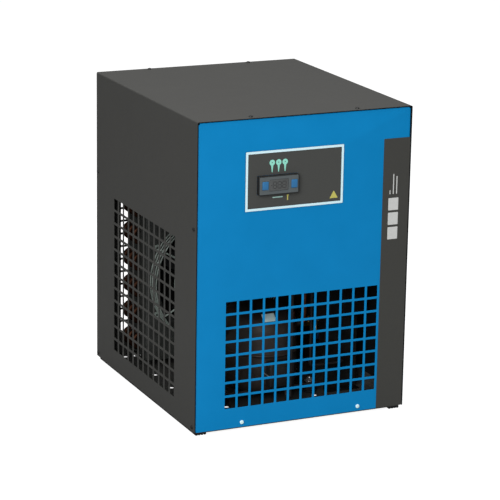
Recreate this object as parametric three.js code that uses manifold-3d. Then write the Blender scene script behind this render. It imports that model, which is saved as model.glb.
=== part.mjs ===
// A small refrigerated compressed-air dryer: a folded sheet-metal cabinet round a refrigeration circuit.
// Millimetres. Inside the cabinet group u runs right from the left face, v runs back from the front edge and
// z runs up from the floor. The exported group moves that to the part's own frame: +X right, +Y back, +Z up,
// with the origin on the floor at the middle of the whole envelope.
import * as THREE from "three";
import { mergeVertices } from "three/addons/utils/BufferGeometryUtils.js";
import Module from "manifold-3d";

const wasm = await Module();
wasm.setup();

// ---------------------------------------------------------------- driving dimensions

const CABINET = { w: 395, d: 460, top: 540, bottom: 6.7 };
const PORT_REACH = 28; // how far the air ports stand out behind the cabinet
const SHEET = { cover: 1.5, panel: 1.2 };
const GAP = 0.3; // air between pieces that rest on each other
const SEAM = 0.4; // fitting clearance between the cover and the panels inside it
const CLEAR = 1; // how far a cutting tool runs past the faces that it cuts
const FLANGE = 16; // depth of the panels' folded edges
const FOLD = 2.4; // outside radius of the folds

const FACE_V = 1.6; // front panel's outer face
const BACK_V = CABINET.d - 1; // back panel's outer face
const PAN = { floor: 5.2, sheet: 1.2, lip: 27, inset: 2 }; // base pan: underside, thickness and rim top
const PAN_TOP = PAN.floor + PAN.sheet;
const SPARE_HOLE = { r: 4.6, frontU: [107, 277], frontV: 109.3, sideU: 58, sideV: [240.7, 318] };
const DRAIN_HOLE = { u: 47, v: 436.5, pitch: 17.5, count: 3 }; // a row of the same holes at the back
const FOOT = { w: 20, edge: 4, end: 6 }; // rubber strips under the pan

const GRILLE = { hole: 20, pitch: 24 };
const FRONT_GRILLE = { cols: 12, rows: 8, along: 55.5, up: 42 };
const SIDE_GRILLE = { cols: 12, rows: 12, along: 91, up: 42.5 };
const BACK_GRILLE = { cols: 12, rows: 12, along: 46.7, up: 46 };

const SCREW = { head: 3.5, crown: 2.45, edge: 1.2, rise: 2.2, shank: 1.8, length: 7, hole: 2.5 };
const SCREW_LINE = { front: 11, back: 452.5, low: 14.7, high: 358.5 }; // rows of screws in the cover's edges
const TOP_SCREW_HALF = 98; // half the distance between the two screws of a row in the top
const FRONT_SCREW = { half: 110, z: 15 };

const CONTROL = { u: 177, z: 433, w: 180, h: 101, border: 4.2, thick: 0.8 }; // label on the front panel
const TRIM = { u0: 343.3, inset: 2, z0: 7, z1: 486, thick: 0.6 }; // dark strip down the right of the front
const CONTROLLER = { u: 144.8, z: 425.5, w: 73, h: 32, face: -7 }; // bezel that stands on the front panel
const HOUSING = { w: 67, h: 27, play: 0.4, back: 60 }; // case behind the bezel, through the panel's cutout
const WINDOW_LENS = { w: 34, h: 19, proud: 0.2, depth: 1.1 };
const KEY = { w: 11, h: 14, half: 26.5, aside: 1.8, proud: 1, depth: 4.5, play: 0.4, pocket: 6 };

const COIL = { u0: 55, u1: 304, v0: 371, v1: 437, z0: 25.5, z1: 326.5, plate: 1.5 };
const COIL_LEG = { front: 14, back: 52, w: 10 }; // distances of the legs from the coil's front face
const TUBE = { r: 4.6, bend: 10.8, pitch: 25, rowPitch: 22, rows: 3, perRow: 12 };
const TUBE_END = { left: 0.4, right: 8, tail: 14 }; // straight lengths outside the coil's end plates
const FAN = { u: 184, v: 356, z: 170, r: 98, hub: 30, hubFront: 14, hubBack: 12, shaft: 4 };
const BLADE = { count: 5, root: 24, rootHalf: 13, shoulder: 90, tipHalf: 26, thick: 1.6, pitch: 28 };
const SHROUD = { u0: 54, u1: 318, z0: 20, z1: 333, face: 352, back: 370, opening: 104, lip: 14 };
const MOTOR = { r: 38, v0: 270, v1: 330, bore: 4.5, socket: 28, nose: 14, round: 6 };
const GUARD = { r: 122, v: 323.2, wire: 1.5, rings: [50, 86], spokes: 6, spoke: 2.2, collar: 22 };

const COMPRESSOR = { u: 192, v: 165, r: 66, stretch: 1.18, base: 19.5, shoulder: 136, top: 172 };
const WELD = { z: 92, rim: 3.5 }; // the seam round the compressor's shell
const FEET = { z: 18.3, sheet: 2.5, halfU: 97, halfV: 47, arm: 24, waistU: 52, waistV: 14 };
const MOUNT = { halfU: 85, halfV: 35, stud: 3.6, studTop: 34, play: 0.6, neck: 6, r: 12, cap: 9, rise: 7 };
const TERMINAL = { half: 24, depth: 24, z0: 44, z1: 90 }; // cover on the front of the compressor

const EXCHANGER = { u0: 296, u1: 372, v0: 132, v1: 304, z0: 150, z1: 500, foam: 12, fit: 0.5 };
const STUB = { drop: 22, reach: 16, r: 7.5, root: 5 }; // the exchanger's drain and suction connections
const STAND = { u0: 302, u1: 366, sheet: 1.2, inset: 4 }; // sheet-metal stand under the heat exchanger
const PORT = { u: 334, outlet: 470, inlet: 400, neck: 10.5, pipe: 13.5, collar: 15.5, collarV: 448 };
const SOCKET = { r: 21, bore: 12.6, deep: 18 }; // threaded socket at the end of each air pipe

const DISCHARGE = { v: 150, u: 275, r: 4, bend: 6, low: 128, over: 12, aside: 16 };
const SUCTION = { v: 165, z: 262, r: 7, bend: 12, low: 125, turn: 100 }; // run from exchanger to compressor
const BOSS = { discharge: 6.5, suction: 7.5, reach: 9, root: 8 }; // the compressor's connections
const LIQUID = { r: 3.2, bend: 9 };
const DRIER = { u: 356, v: 350, r: 11, z0: 92, z1: 200, end: 14, spout: 6, spoutR: 4.5, tipR: 3.5 };
const CAPILLARY = { u: 352, top: 274, lead: 16, radius: 17, turns: 4, perTurn: 9, rise: 9, r: 1.4 };
const HOT_GAS = { u: 240, z0: 286, neck: 296, bodyLow: 300, bodyHigh: 328, cap: 334, z1: 350, feed: 314 };
const HOT_GAS_R = { neck: 9, body: 15, cap: 11, pipe: 3.2, bend: 6 };

const DRAIN = { u: 334, v: 222, low: 84, waist: 90, high: 120, pivotZ: 108, front: 16, back: 26 };
const BRANCH_Z = 98; // the drain valve's outlet and the hose
const DRAIN_R = { end: 9, body: 12, top: 10, branch: 7 };
const LEVER = { hub: 6, hubV: 5, thick: 3, overlap: 0.5, half: 5, down: 46, up: 6 };
const SOLENOID = { length: 30, half: 12, low: 86, high: 110, coilHalf: 15, coilLow: 112, coilHigh: 134 };
const SOLENOID_STEM = { r: 7, rise: 10 };
const HOSE = { r: 4, bend: 14, out: 16, end: 446 };
const OUTLET = { u: 376, z: 42, bore: 2.5, r: 6, nut: 9, nutDepth: 7, tip: 5, barb: 8, end: 480 };

const SWITCH = { u: 70, z: 455, w: 21.2, h: 29.2, wall: 2.2, bezel: 2.4, rise: 2.3, front: 436 };
const SWITCH_FIT = { well: 9, cut: 0.4 }; // depth of the rocker's well, and the play in the panel
const ROCKER = { half: 7.6, tall: 11.2, proud: 4.5, back: 4.5, foot: 4, waist: 1.4, flush: 0.4, corner: 1 };
const GLAND = { z: 400, play: 0.8, thread: 7.5, v0: 450, nut: 11, nutDepth: 6, v1: 470 };
const GLAND_DOME = { r: 8.5, depth: 8 };
const CORD = { u: 170, z: 430, loop: 56, r: 3.6, turns: 2.25, perTurn: 16, off: 3, slack: 0.2 };
const PLUG = { half: 10, neckHalf: 6, low: 4, high: 40, front: 7, back: 5, pin: 2.3, pinTop: 56 };

// ---------------------------------------------------------------- shaping helpers

const span = (middle, size) => [middle - size / 2, middle + size / 2];

const U = new THREE.Vector3(1, 0, 0);
const V = new THREE.Vector3(0, 1, 0);
const Z = new THREE.Vector3(0, 0, 1);
const AXES = {
  u: new THREE.Matrix4().makeBasis(V, Z, U),
  v: new THREE.Matrix4().makeBasis(Z, U, V),
  z: new THREE.Matrix4(),
};

// A closed geometry as a manifold-3d solid.
function solid(geometry) {
  const bare = geometry.index ? geometry.toNonIndexed() : geometry.clone();
  bare.deleteAttribute("normal");
  bare.deleteAttribute("uv");
  const merged = mergeVertices(bare, 1e-3);
  return new wasm.Manifold(
    new wasm.Mesh({
      numProp: 3,
      vertProperties: merged.attributes.position.array,
      triVerts: new Uint32Array(merged.index.array),
    }),
  );
}

function geometryOf(made) {
  const mesh = made.getMesh();
  const points = new THREE.BufferAttribute(new Float32Array(mesh.vertProperties), 3);
  const faces = new THREE.BufferAttribute(new Uint32Array(mesh.triVerts), 1);
  return new THREE.BufferGeometry().setAttribute("position", points).setIndex(faces);
}

const join = (solids) => solids.reduce((whole, next) => whole.add(next));
const cut = (body, tools) => tools.reduce((left, tool) => left.subtract(tool), body);

// A block between two corners.
function block([u0, u1], [v0, v1], [z0, z1]) {
  const box = new THREE.BoxGeometry(u1 - u0, v1 - v0, z1 - z0);
  return solid(box.translate((u0 + u1) / 2, (v0 + v1) / 2, (z0 + z1) / 2));
}

// A profile of [radius, distance] points turned about an axis through (a, b) of the other two directions,
// which are v and z for axis u, z and u for axis v, and u and v for axis z.
function turned(axis, [a, b], profile, sides) {
  const area = profile.reduce((sum, [r, h], i) => {
    const [r2, h2] = profile[(i + 1) % profile.length];
    return sum + r * h2 - r2 * h;
  }, 0);
  const ordered = area > 0 ? [...profile] : [...profile].reverse();
  if (ordered.every(([r]) => r > 0)) ordered.push(ordered[0]);
  else while (ordered[0][0] !== 0 || ordered.at(-1)[0] !== 0) ordered.push(ordered.shift());
  const points = ordered.map(([r, h]) => new THREE.Vector2(r, h));
  const lathe = new THREE.LatheGeometry(points, sides).rotateX(Math.PI / 2).translate(a, b, 0);
  return solid(lathe.applyMatrix4(AXES[axis]));
}

const rod = (axis, at, r, [from, to], sides = 8) =>
  turned(axis, at, [[0, from], [r, from], [r, to], [0, to]], sides);

const pipe = (axis, at, [bore, r], [from, to], sides = 12) =>
  turned(axis, at, [[bore, from], [r, from], [r, to], [bore, to]], sides);

// A flat outline, in the two directions named for turned(), pushed along an axis.
function extruded(axis, shape, [from, to], curveSegments = 3) {
  const made = new THREE.ExtrudeGeometry(shape, { depth: to - from, bevelEnabled: false, curveSegments });
  return solid(made.translate(0, 0, from).applyMatrix4(AXES[axis]));
}

const outline = (points) => new THREE.Shape(points.map(([a, b]) => new THREE.Vector2(a, b)));

// A run of pipe through stations, with a section at each one.
class Run extends THREE.Curve {
  constructor(stations) {
    super();
    this.stations = stations;
  }

  getPointAt(share, target = new THREE.Vector3()) {
    return target.copy(this.stations[Math.round(share * (this.stations.length - 1))]);
  }

  getTangentAt(share, target = new THREE.Vector3()) {
    const last = this.stations.length - 1;
    const here = Math.round(share * last);
    const before = this.stations[Math.max(here - 1, 0)];
    const after = this.stations[Math.min(here + 1, last)];
    return target.copy(after).sub(before).normalize();
  }
}

const runThrough = (places) => new Run(places.map((place) => new THREE.Vector3(...place)));

// A run through corner points, with each corner rounded to a bend radius.
function bent(corners, bend, steps = 3) {
  const at = corners.map((corner) => new THREE.Vector3(...corner));
  const stations = [at[0]];
  for (let i = 1; i < at.length - 1; i++) {
    const toPrev = at[i - 1].clone().sub(at[i]).normalize();
    const toNext = at[i + 1].clone().sub(at[i]).normalize();
    const half = toPrev.angleTo(toNext) / 2;
    const reach = bend / Math.tan(half);
    const centre = toPrev.clone().add(toNext).normalize().multiplyScalar(bend / Math.sin(half)).add(at[i]);
    const start = toPrev.multiplyScalar(reach).add(at[i]).sub(centre);
    const end = toNext.multiplyScalar(reach).add(at[i]).sub(centre);
    const axis = start.clone().cross(end).normalize();
    for (let k = 0; k <= steps; k++) {
      const turn = ((Math.PI - 2 * half) * k) / steps;
      stations.push(start.clone().applyAxisAngle(axis, turn).add(centre));
    }
  }
  return new Run([...stations, at.at(-1)]);
}

// A round bar swept along a run.
function swept(run, r, sides = 6) {
  const corners = Array.from({ length: sides }, (_, i) => {
    const turn = (2 * Math.PI * i) / sides;
    return [r * Math.cos(turn), r * Math.sin(turn)];
  });
  const options = { steps: run.stations.length - 1, extrudePath: run, bevelEnabled: false };
  return solid(new THREE.ExtrudeGeometry(outline(corners), options));
}

// ---------------------------------------------------------------- materials

const finish = (color, roughness, metalness) =>
  new THREE.MeshStandardMaterial({ color, roughness, metalness });
const GREY_PAINT = finish(0x474745, 0.6, 0.1);
const BLUE_PAINT = finish(0x167fbb, 0.5, 0.1);
const WHITE_PLASTIC = finish(0xe6eef2, 0.5, 0);
const LABEL = finish(0x4a4a48, 0.6, 0);
const BLACK_PLASTIC = finish(0x1b1b1c, 0.5, 0);
const KEY_PLASTIC = finish(0x3c76a8, 0.5, 0);
const LENS = finish(0x2c2f30, 0.2, 0);
const GREEN_PLASTIC = finish(0x2c8c48, 0.4, 0);
const ZINC = finish(0xa9acaf, 0.4, 0.9);
const COPPER = finish(0xb06a3b, 0.35, 0.95);
const ALUMINIUM = finish(0x9da0a2, 0.45, 0.9);
const BRASS = finish(0xb99a52, 0.35, 0.95);
const RUBBER = finish(0x151515, 0.9, 0);
const FOAM = finish(0x1d1d1e, 0.95, 0);
const BLACK_PAINT = finish(0x161618, 0.45, 0.2);
const CLEAR_HOSE = finish(0x4f86b8, 0.4, 0);

const root = new THREE.Group();
const cabinet = new THREE.Group();
const FOREMOST = CONTROLLER.face - KEY.proud; // front face of the controller's keys
cabinet.position.set(-CABINET.w / 2, -(CABINET.d + PORT_REACH + FOREMOST) / 2, 0);
root.add(cabinet);

function add(name, material, made) {
  const mesh = new THREE.Mesh(geometryOf(made), material);
  mesh.name = name;
  cabinet.add(mesh);
}

// ---------------------------------------------------------------- cabinet

// The square holes of a grille as one cutting tool. The sheet lies between two depths along its axis.
function grilleTool(axis, { cols, rows, along, up }, depth) {
  const holes = [];
  for (let col = 0; col < cols; col++) {
    for (let row = 0; row < rows; row++) {
      const a = along + col * GRILLE.pitch;
      const z = up + row * GRILLE.pitch;
      const side = [a, a + GRILLE.hole];
      holes.push(block(axis === "u" ? depth : side, axis === "u" ? side : depth, [z, z + GRILLE.hole]));
    }
  }
  return join(holes);
}

// A round hole for a screw, as a cutting tool.
const screwHole = (axis, at, depth) => rod(axis, at, SCREW.hole, depth, 6);

// A sheet folded along both sides and the top, seen from its outer face at v = 0 with its flanges towards +v.
function foldedPanel() {
  const form = (inset, open) => {
    const u0 = SHEET.cover + SEAM + inset;
    const u1 = CABINET.w - u0;
    const z1 = CABINET.top - SHEET.cover - SEAM - inset;
    const r = FOLD - inset;
    const end = FLANGE + open;
    const plan = new THREE.Shape();
    plan.moveTo(u0, end).lineTo(u0, inset + r);
    plan.absarc(u0 + r, inset + r, r, Math.PI, 1.5 * Math.PI).lineTo(u1 - r, inset);
    plan.absarc(u1 - r, inset + r, r, 1.5 * Math.PI, 2 * Math.PI).lineTo(u1, end);
    const side = new THREE.Shape(); // drawn in z and v, the two directions across u turned round
    side.moveTo(inset, CABINET.bottom - open).lineTo(end, CABINET.bottom - open).lineTo(end, z1);
    side.lineTo(inset + r, z1).absarc(inset + r, z1 - r, r, 0.5 * Math.PI, Math.PI);
    const standing = extruded("z", plan, [CABINET.bottom - open, CABINET.top]);
    return standing.intersect(extruded("u", side, [0, CABINET.w]));
  };
  return form(0, 0).subtract(form(SHEET.panel, CLEAR));
}

// The screws that hold the cover: four in the top and four in each side.
function coverScrews() {
  const places = [];
  for (const [end, v] of [["front", SCREW_LINE.front], ["back", SCREW_LINE.back]]) {
    for (const [hand, sign] of [["left", -1], ["right", 1]]) {
      const u = CABINET.w / 2 + sign * TOP_SCREW_HALF;
      places.push({ name: `screw_top_${end}_${hand}`, axis: "z", at: [u, v], face: CABINET.top, sign: 1 });
      for (const height of ["low", "high"]) {
        const name = `screw_${hand}_${end}_${height}`;
        places.push({ name, axis: "u", at: [v, SCREW_LINE[height]], face: sign < 0 ? 0 : CABINET.w, sign });
      }
    }
  }
  return places;
}

// The screws at the foot of the front panel.
function frontScrews() {
  return [["left", -1], ["right", 1]].map(([hand, sign]) => {
    const at = [FRONT_SCREW.z, CABINET.w / 2 + sign * FRONT_SCREW.half];
    return { name: `screw_front_${hand}`, axis: "v", at, face: FACE_V, sign: -1 };
  });
}

const holeFor = ({ axis, at, face, sign }) =>
  screwHole(axis, at, [face - sign * SCREW.length, face + sign * CLEAR].sort((a, b) => a - b));

// A pan-head screw along an axis. Its head rests on a face at the given place, on the side that sign names.
function screw(axis, at, face, sign) {
  const profile = [
    [0, -SCREW.length],
    [SCREW.shank, -SCREW.length],
    [SCREW.shank, GAP],
    [SCREW.head, GAP],
    [SCREW.head, SCREW.edge],
    [SCREW.crown, SCREW.rise],
    [0, SCREW.rise],
  ];
  return turned(axis, at, profile.map(([r, h]) => [r, face + sign * h]), 8);
}

// The cover's section, drawn in z and u and pushed along v. An inset one is the space inside it.
function coverArch(inset) {
  const r = FOLD - inset;
  const top = CABINET.top - inset;
  const right = CABINET.w - inset;
  const shape = new THREE.Shape();
  shape.moveTo(CABINET.bottom - inset, inset).lineTo(top - r, inset);
  shape.absarc(top - r, inset + r, r, 1.5 * Math.PI, 2 * Math.PI).lineTo(top, right - r);
  shape.absarc(top - r, right - r, r, 0, 0.5 * Math.PI).lineTo(CABINET.bottom - inset, right);
  return extruded("v", shape, [-inset, CABINET.d + inset]);
}

function buildCabinet() {
  const screws = coverScrews();
  const fronts = frontScrews();
  const holes = screws.map(holeFor);
  const frontHoles = fronts.map(holeFor);
  const sideGrille = grilleTool("u", SIDE_GRILLE, [-CLEAR, SHEET.cover + CLEAR]);
  add("wrap_cover", GREY_PAINT, cut(coverArch(0), [coverArch(SHEET.cover), sideGrille, ...holes]));
  buildFront([...holes, ...frontHoles]);
  buildBack(holes);
  for (const { name, axis, at, face, sign } of screws) add(name, BLACK_PAINT, screw(axis, at, face, sign));
  for (const { name, axis, at, face, sign } of fronts) add(name, ZINC, screw(axis, at, face, sign));
  buildBase(frontHoles);
}

function buildFront(holes) {
  const depth = [FACE_V - CLEAR, FACE_V + SHEET.panel + CLEAR];
  const wide = span(CONTROLLER.u, HOUSING.w + 2 * HOUSING.play);
  const window = block(wide, depth, span(CONTROLLER.z, HOUSING.h + 2 * HOUSING.play));
  const front = foldedPanel().translate([0, FACE_V, 0]);
  add("front_panel", BLUE_PAINT, cut(front, [grilleTool("v", FRONT_GRILLE, depth), window, ...holes]));
  const face = FACE_V - GAP;
  const strip = block([TRIM.u0, CABINET.w - TRIM.inset], [face - TRIM.thick, face], [TRIM.z0, TRIM.z1]);
  add("trim_strip", LABEL, strip);
}

function buildBack(holes) {
  const depth = [BACK_V - SHEET.panel - CLEAR, BACK_V + CLEAR];
  const play = SWITCH_FIT.cut;
  const round = (z, u, r) => rod("v", [z, u], r + CLEAR, depth, 12);
  const back = foldedPanel().rotate([0, 0, 180]).translate([CABINET.w, BACK_V, 0]);
  const openings = [
    grilleTool("v", BACK_GRILLE, depth),
    round(PORT.inlet, PORT.u, PORT.collar),
    round(PORT.outlet, PORT.u, PORT.collar),
    round(OUTLET.z, OUTLET.u, OUTLET.r),
    round(GLAND.z, SWITCH.u, GLAND.thread),
    block(span(SWITCH.u, SWITCH.w + 2 * play), depth, span(SWITCH.z, SWITCH.h + 2 * play)),
  ];
  add("back_panel", GREY_PAINT, cut(back, [...openings, ...holes]));
}

// The base pan with its rim, compressor studs and open holes, and the rubber strips under it.
function buildBase(frontHoles) {
  const edge = SHEET.cover + SEAM;
  const far = CABINET.w - edge;
  const rise = [PAN.floor, PAN.lip];
  const v0 = FACE_V + SHEET.panel + GAP;
  const v1 = BACK_V - SHEET.panel - GAP;
  const width = [edge + PAN.inset, far - PAN.inset];
  const depth = [FACE_V + FLANGE + CLEAR, BACK_V - FLANGE - CLEAR];
  const plates = [
    block([edge, far], [v0, v1], [PAN.floor, PAN_TOP]),
    block(width, [v0, v0 + PAN.sheet], rise),
    block(width, [v1 - PAN.sheet, v1], rise),
    block([edge, edge + PAN.sheet], depth, rise),
    block([far - PAN.sheet, far], depth, rise),
  ];
  const studs = mountPlaces().map(({ at }) => rod("z", at, MOUNT.stud, [PAN.floor + GAP, MOUNT.studTop], 6));
  const places = [
    ...SPARE_HOLE.frontU.map((u) => [u, SPARE_HOLE.frontV]),
    ...SPARE_HOLE.sideV.map((v) => [SPARE_HOLE.sideU, v]),
  ];
  for (let i = 0; i < DRAIN_HOLE.count; i++) places.push([DRAIN_HOLE.u + i * DRAIN_HOLE.pitch, DRAIN_HOLE.v]);
  const holes = places.map((at) => rod("z", at, SPARE_HOLE.r, [0, PAN_TOP + CLEAR], 8));
  add("base_pan", GREY_PAINT, cut(join(plates), [...frontHoles, ...holes]).add(join(studs)));
  const strip = (u) => block([u, u + FOOT.w], [FOOT.end, CABINET.d - FOOT.end], [0, PAN.floor - GAP]);
  add("foot_strip_left", RUBBER, strip(FOOT.edge));
  add("foot_strip_right", RUBBER, strip(CABINET.w - FOOT.edge - FOOT.w));
}

// ---------------------------------------------------------------- control panel

// The label on the front panel: a white border round a dark plate with the controller's window in it.
function buildLabel() {
  const { u, z, w, h, border, thick } = CONTROL;
  const front = FACE_V - GAP;
  const inner = [w - 2 * border, h - 2 * border];
  const opening = block(span(u, inner[0]), [-CLEAR, FACE_V], span(z, inner[1]));
  add("control_frame", WHITE_PLASTIC, block(span(u, w), [0, front], span(z, h)).subtract(opening));
  const wide = span(CONTROLLER.u, CONTROLLER.w + 2 * GAP);
  const window = block(wide, [-CLEAR, FACE_V], span(CONTROLLER.z, CONTROLLER.h + 2 * GAP));
  const plate = block(span(u, inner[0] - 2 * GAP), [front - thick, front], span(z, inner[1] - 2 * GAP));
  add("control_plate", LABEL, plate.subtract(window));
}

// The controller's bezel stands on the front panel, and its case passes through to the inside.
function buildController() {
  const { u, z, face } = CONTROLLER;
  const part = (at, w, h, depth) => block(span(at, w), depth, span(z, h));
  const middle = u + KEY.aside;
  const keys = [["key_left", middle - KEY.half], ["key_right", middle + KEY.half]];
  const bezel = part(u, CONTROLLER.w, CONTROLLER.h, [face, FACE_V - GAP]);
  const body = part(u, HOUSING.w, HOUSING.h, [FACE_V - GAP - CLEAR, HOUSING.back]);
  const lensDepth = face + WINDOW_LENS.depth;
  const front = face - CLEAR;
  const tools = [
    ...keys.map(([, at]) => part(at, KEY.w + 2 * KEY.play, KEY.h + 2 * KEY.play, [front, face + KEY.pocket])),
    part(u, WINDOW_LENS.w + 2 * GAP, WINDOW_LENS.h + 2 * GAP, [front, lensDepth + GAP]),
  ];
  add("controller_housing", BLACK_PLASTIC, cut(bezel.add(body), tools));
  add("display_lens", LENS, part(u, WINDOW_LENS.w, WINDOW_LENS.h, [face - WINDOW_LENS.proud, lensDepth]));
  for (const [name, at] of keys) {
    add(name, KEY_PLASTIC, part(at, KEY.w, KEY.h, [face - KEY.proud, face + KEY.depth]));
  }
}

// ---------------------------------------------------------------- condenser and fan

const lowestTube = (COIL.z0 + COIL.z1) / 2 - (TUBE.pitch * (TUBE.perRow - 1)) / 2;
const firstRow = (COIL.v0 + COIL.v1) / 2 - TUBE.rowPitch;

// One serpentine of copper: down the front row, up the middle row and down the back row. Both ends are at the
// right.
function coilCorners() {
  const left = COIL.u0 - TUBE_END.left - TUBE.pitch / 2;
  const right = COIL.u1 + TUBE_END.right + TUBE.pitch / 2;
  const end = COIL.u1 + TUBE_END.tail;
  const corners = [];
  for (let row = 0; row < TUBE.rows; row++) {
    const v = firstRow + row * TUBE.rowPitch;
    for (let k = 0; k < TUBE.perRow; k++) {
      const z = lowestTube + TUBE.pitch * (row % 2 ? k : TUBE.perRow - 1 - k);
      corners.push(k % 2 ? [left, v, z] : [right, v, z], k % 2 ? [right, v, z] : [left, v, z]);
    }
  }
  corners[0] = [end, corners[0][1], corners[0][2]];
  corners[corners.length - 1] = [end, corners.at(-1)[1], corners.at(-1)[2]];
  return corners;
}

function buildCondenser() {
  add("condenser_coil", COPPER, swept(bent(coilCorners(), TUBE.bend, 2), TUBE.r));
  const tubes = [];
  for (let row = 0; row < TUBE.rows; row++) {
    for (let k = 0; k < TUBE.perRow; k++) {
      const at = [firstRow + row * TUBE.rowPitch, lowestTube + k * TUBE.pitch];
      tubes.push(rod("u", at, TUBE.r + CLEAR, [COIL.u0 - CLEAR, COIL.u1 + CLEAR], 6));
    }
  }
  const fins = block([COIL.u0, COIL.u1], [COIL.v0, COIL.v1], [COIL.z0, COIL.z1]);
  const legs = [];
  for (const ends of [[COIL.u0, COIL.u0 + COIL.plate], [COIL.u1 - COIL.plate, COIL.u1]]) {
    for (const from of [COIL.v0 + COIL_LEG.front, COIL.v0 + COIL_LEG.back]) {
      legs.push(block(ends, [from, from + COIL_LEG.w], [PAN_TOP + GAP, COIL.z0 + CLEAR]));
    }
  }
  add("condenser_core", ALUMINIUM, cut(join([fins, ...legs]), tubes));
}

const fanAxis = [FAN.z, FAN.u];

function buildShroud() {
  const { u0, u1, z0, z1, face, back, opening } = SHROUD;
  const sheet = SHEET.panel;
  const shell = block([u0, u1], [face, back], [z0, z1]);
  const hollow = block([u0 + sheet, u1 - sheet], [face + sheet, back + CLEAR], [z0 + sheet, z1 - sheet]);
  const hole = rod("v", fanAxis, opening, [face - CLEAR, face + sheet + CLEAR], 24);
  const width = [opening - sheet, opening + sheet];
  const lip = pipe("v", fanAxis, width, [face + sheet / 2, face + SHROUD.lip], 24);
  add("fan_shroud", ZINC, cut(shell, [hollow, hole]).add(lip));
}

// The rotor: a hub, its pitched blades and the shaft that runs in the motor's bearing.
function buildRotor() {
  const { root: inner, rootHalf, shoulder, tipHalf } = BLADE;
  const edge = [[inner, -rootHalf], [shoulder, -tipHalf], [FAN.r, 0], [shoulder, tipHalf], [inner, rootHalf]];
  const blades = Array.from({ length: BLADE.count }, (_, i) => {
    const flat = new THREE.ExtrudeGeometry(outline(edge), { depth: BLADE.thick, bevelEnabled: false });
    flat.rotateX(THREE.MathUtils.degToRad(BLADE.pitch)).rotateZ((2 * Math.PI * i) / BLADE.count);
    return solid(flat.applyMatrix4(AXES.v).translate(FAN.u, FAN.v, FAN.z));
  });
  const hub = rod("v", fanAxis, FAN.hub, [FAN.v - FAN.hubFront, FAN.v + FAN.hubBack], 16);
  const shaft = rod("v", fanAxis, FAN.shaft, [MOTOR.v1 - MOTOR.socket + 2, FAN.v], 10);
  add("fan_rotor", BLACK_PLASTIC, join([hub, shaft, ...blades]));
}

function buildMotor() {
  const { r, v0, v1, bore, socket, nose, round } = MOTOR;
  const profile = [
    [0, v0],
    [r - round, v0],
    [r, v0 + round],
    [r, v1 - round],
    [nose, v1],
    [bore, v1],
    [bore, v1 - socket],
    [0, v1 - socket],
  ];
  add("fan_motor", BLACK_PAINT, turned("v", fanAxis, profile, 16));
}

// The wire basket carries the motor: rings on spokes, with a rim that stands on the shroud and a collar round
// the motor.
function buildGuard() {
  const { r, v, wire, spokes, spoke } = GUARD;
  const base = SHROUD.face - GAP - wire;
  const ring = (radius, at) => {
    const torus = new THREE.TorusGeometry(radius, wire, 4, 24);
    return solid(torus.applyMatrix4(AXES.v).translate(FAN.u, at, FAN.z));
  };
  const inner = MOTOR.r + 1;
  const bars = Array.from({ length: spokes }, (_, i) => {
    const turn = (2 * Math.PI * i) / spokes + Math.PI / spokes;
    const arm = new THREE.BoxGeometry(r - inner, spoke, spoke).translate((r + inner) / 2, 0, 0);
    const leg = new THREE.BoxGeometry(spoke, spoke, base - v).translate(r, 0, (base - v) / 2);
    const place = (bar) => solid(bar.rotateZ(turn).applyMatrix4(AXES.v).translate(FAN.u, v, FAN.z));
    return place(arm).add(place(leg));
  });
  const rings = GUARD.rings.map((radius) => ring(radius, v));
  const collar = pipe("v", fanAxis, [inner - GAP, inner + wire], [v - GUARD.collar, v + wire], 16);
  add("fan_guard", ZINC, join([...rings, ring(r, v), ring(r, base), ...bars, collar]));
}

// ---------------------------------------------------------------- compressor

function mountPlaces() {
  const places = [];
  for (const [end, dv] of [["front", -1], ["back", 1]]) {
    for (const [hand, du] of [["left", -1], ["right", 1]]) {
      places.push({
        name: `compressor_grommet_${end}_${hand}`,
        at: [COMPRESSOR.u + du * MOUNT.halfU, COMPRESSOR.v + dv * MOUNT.halfV],
      });
    }
  }
  return places;
}

// The welded shell: round in section, drawn out to an oval.
function compressorShell() {
  const { u, v, r, stretch, base, shoulder, top } = COMPRESSOR;
  const { z: seam, rim } = WELD;
  const dome = top - shoulder;
  const profile = [
    [0, base],
    [0.72 * r, base],
    [0.92 * r, base + 0.1 * r],
    [r, base + 0.3 * r],
    [r, seam],
    [r + rim, seam + rim / 3],
    [r + rim, seam + 2 * rim],
    [r, seam + 2.3 * rim],
    [r, shoulder],
    [0.9 * r, shoulder + 0.5 * dome],
    [0.64 * r, shoulder + 0.86 * dome],
    [0.3 * r, top],
    [0, top],
  ];
  const points = profile.map(([a, b]) => new THREE.Vector2(a, b));
  const shell = new THREE.LatheGeometry(points, 20).rotateX(Math.PI / 2);
  return solid(shell.scale(1, stretch, 1).translate(u, v, 0));
}

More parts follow.
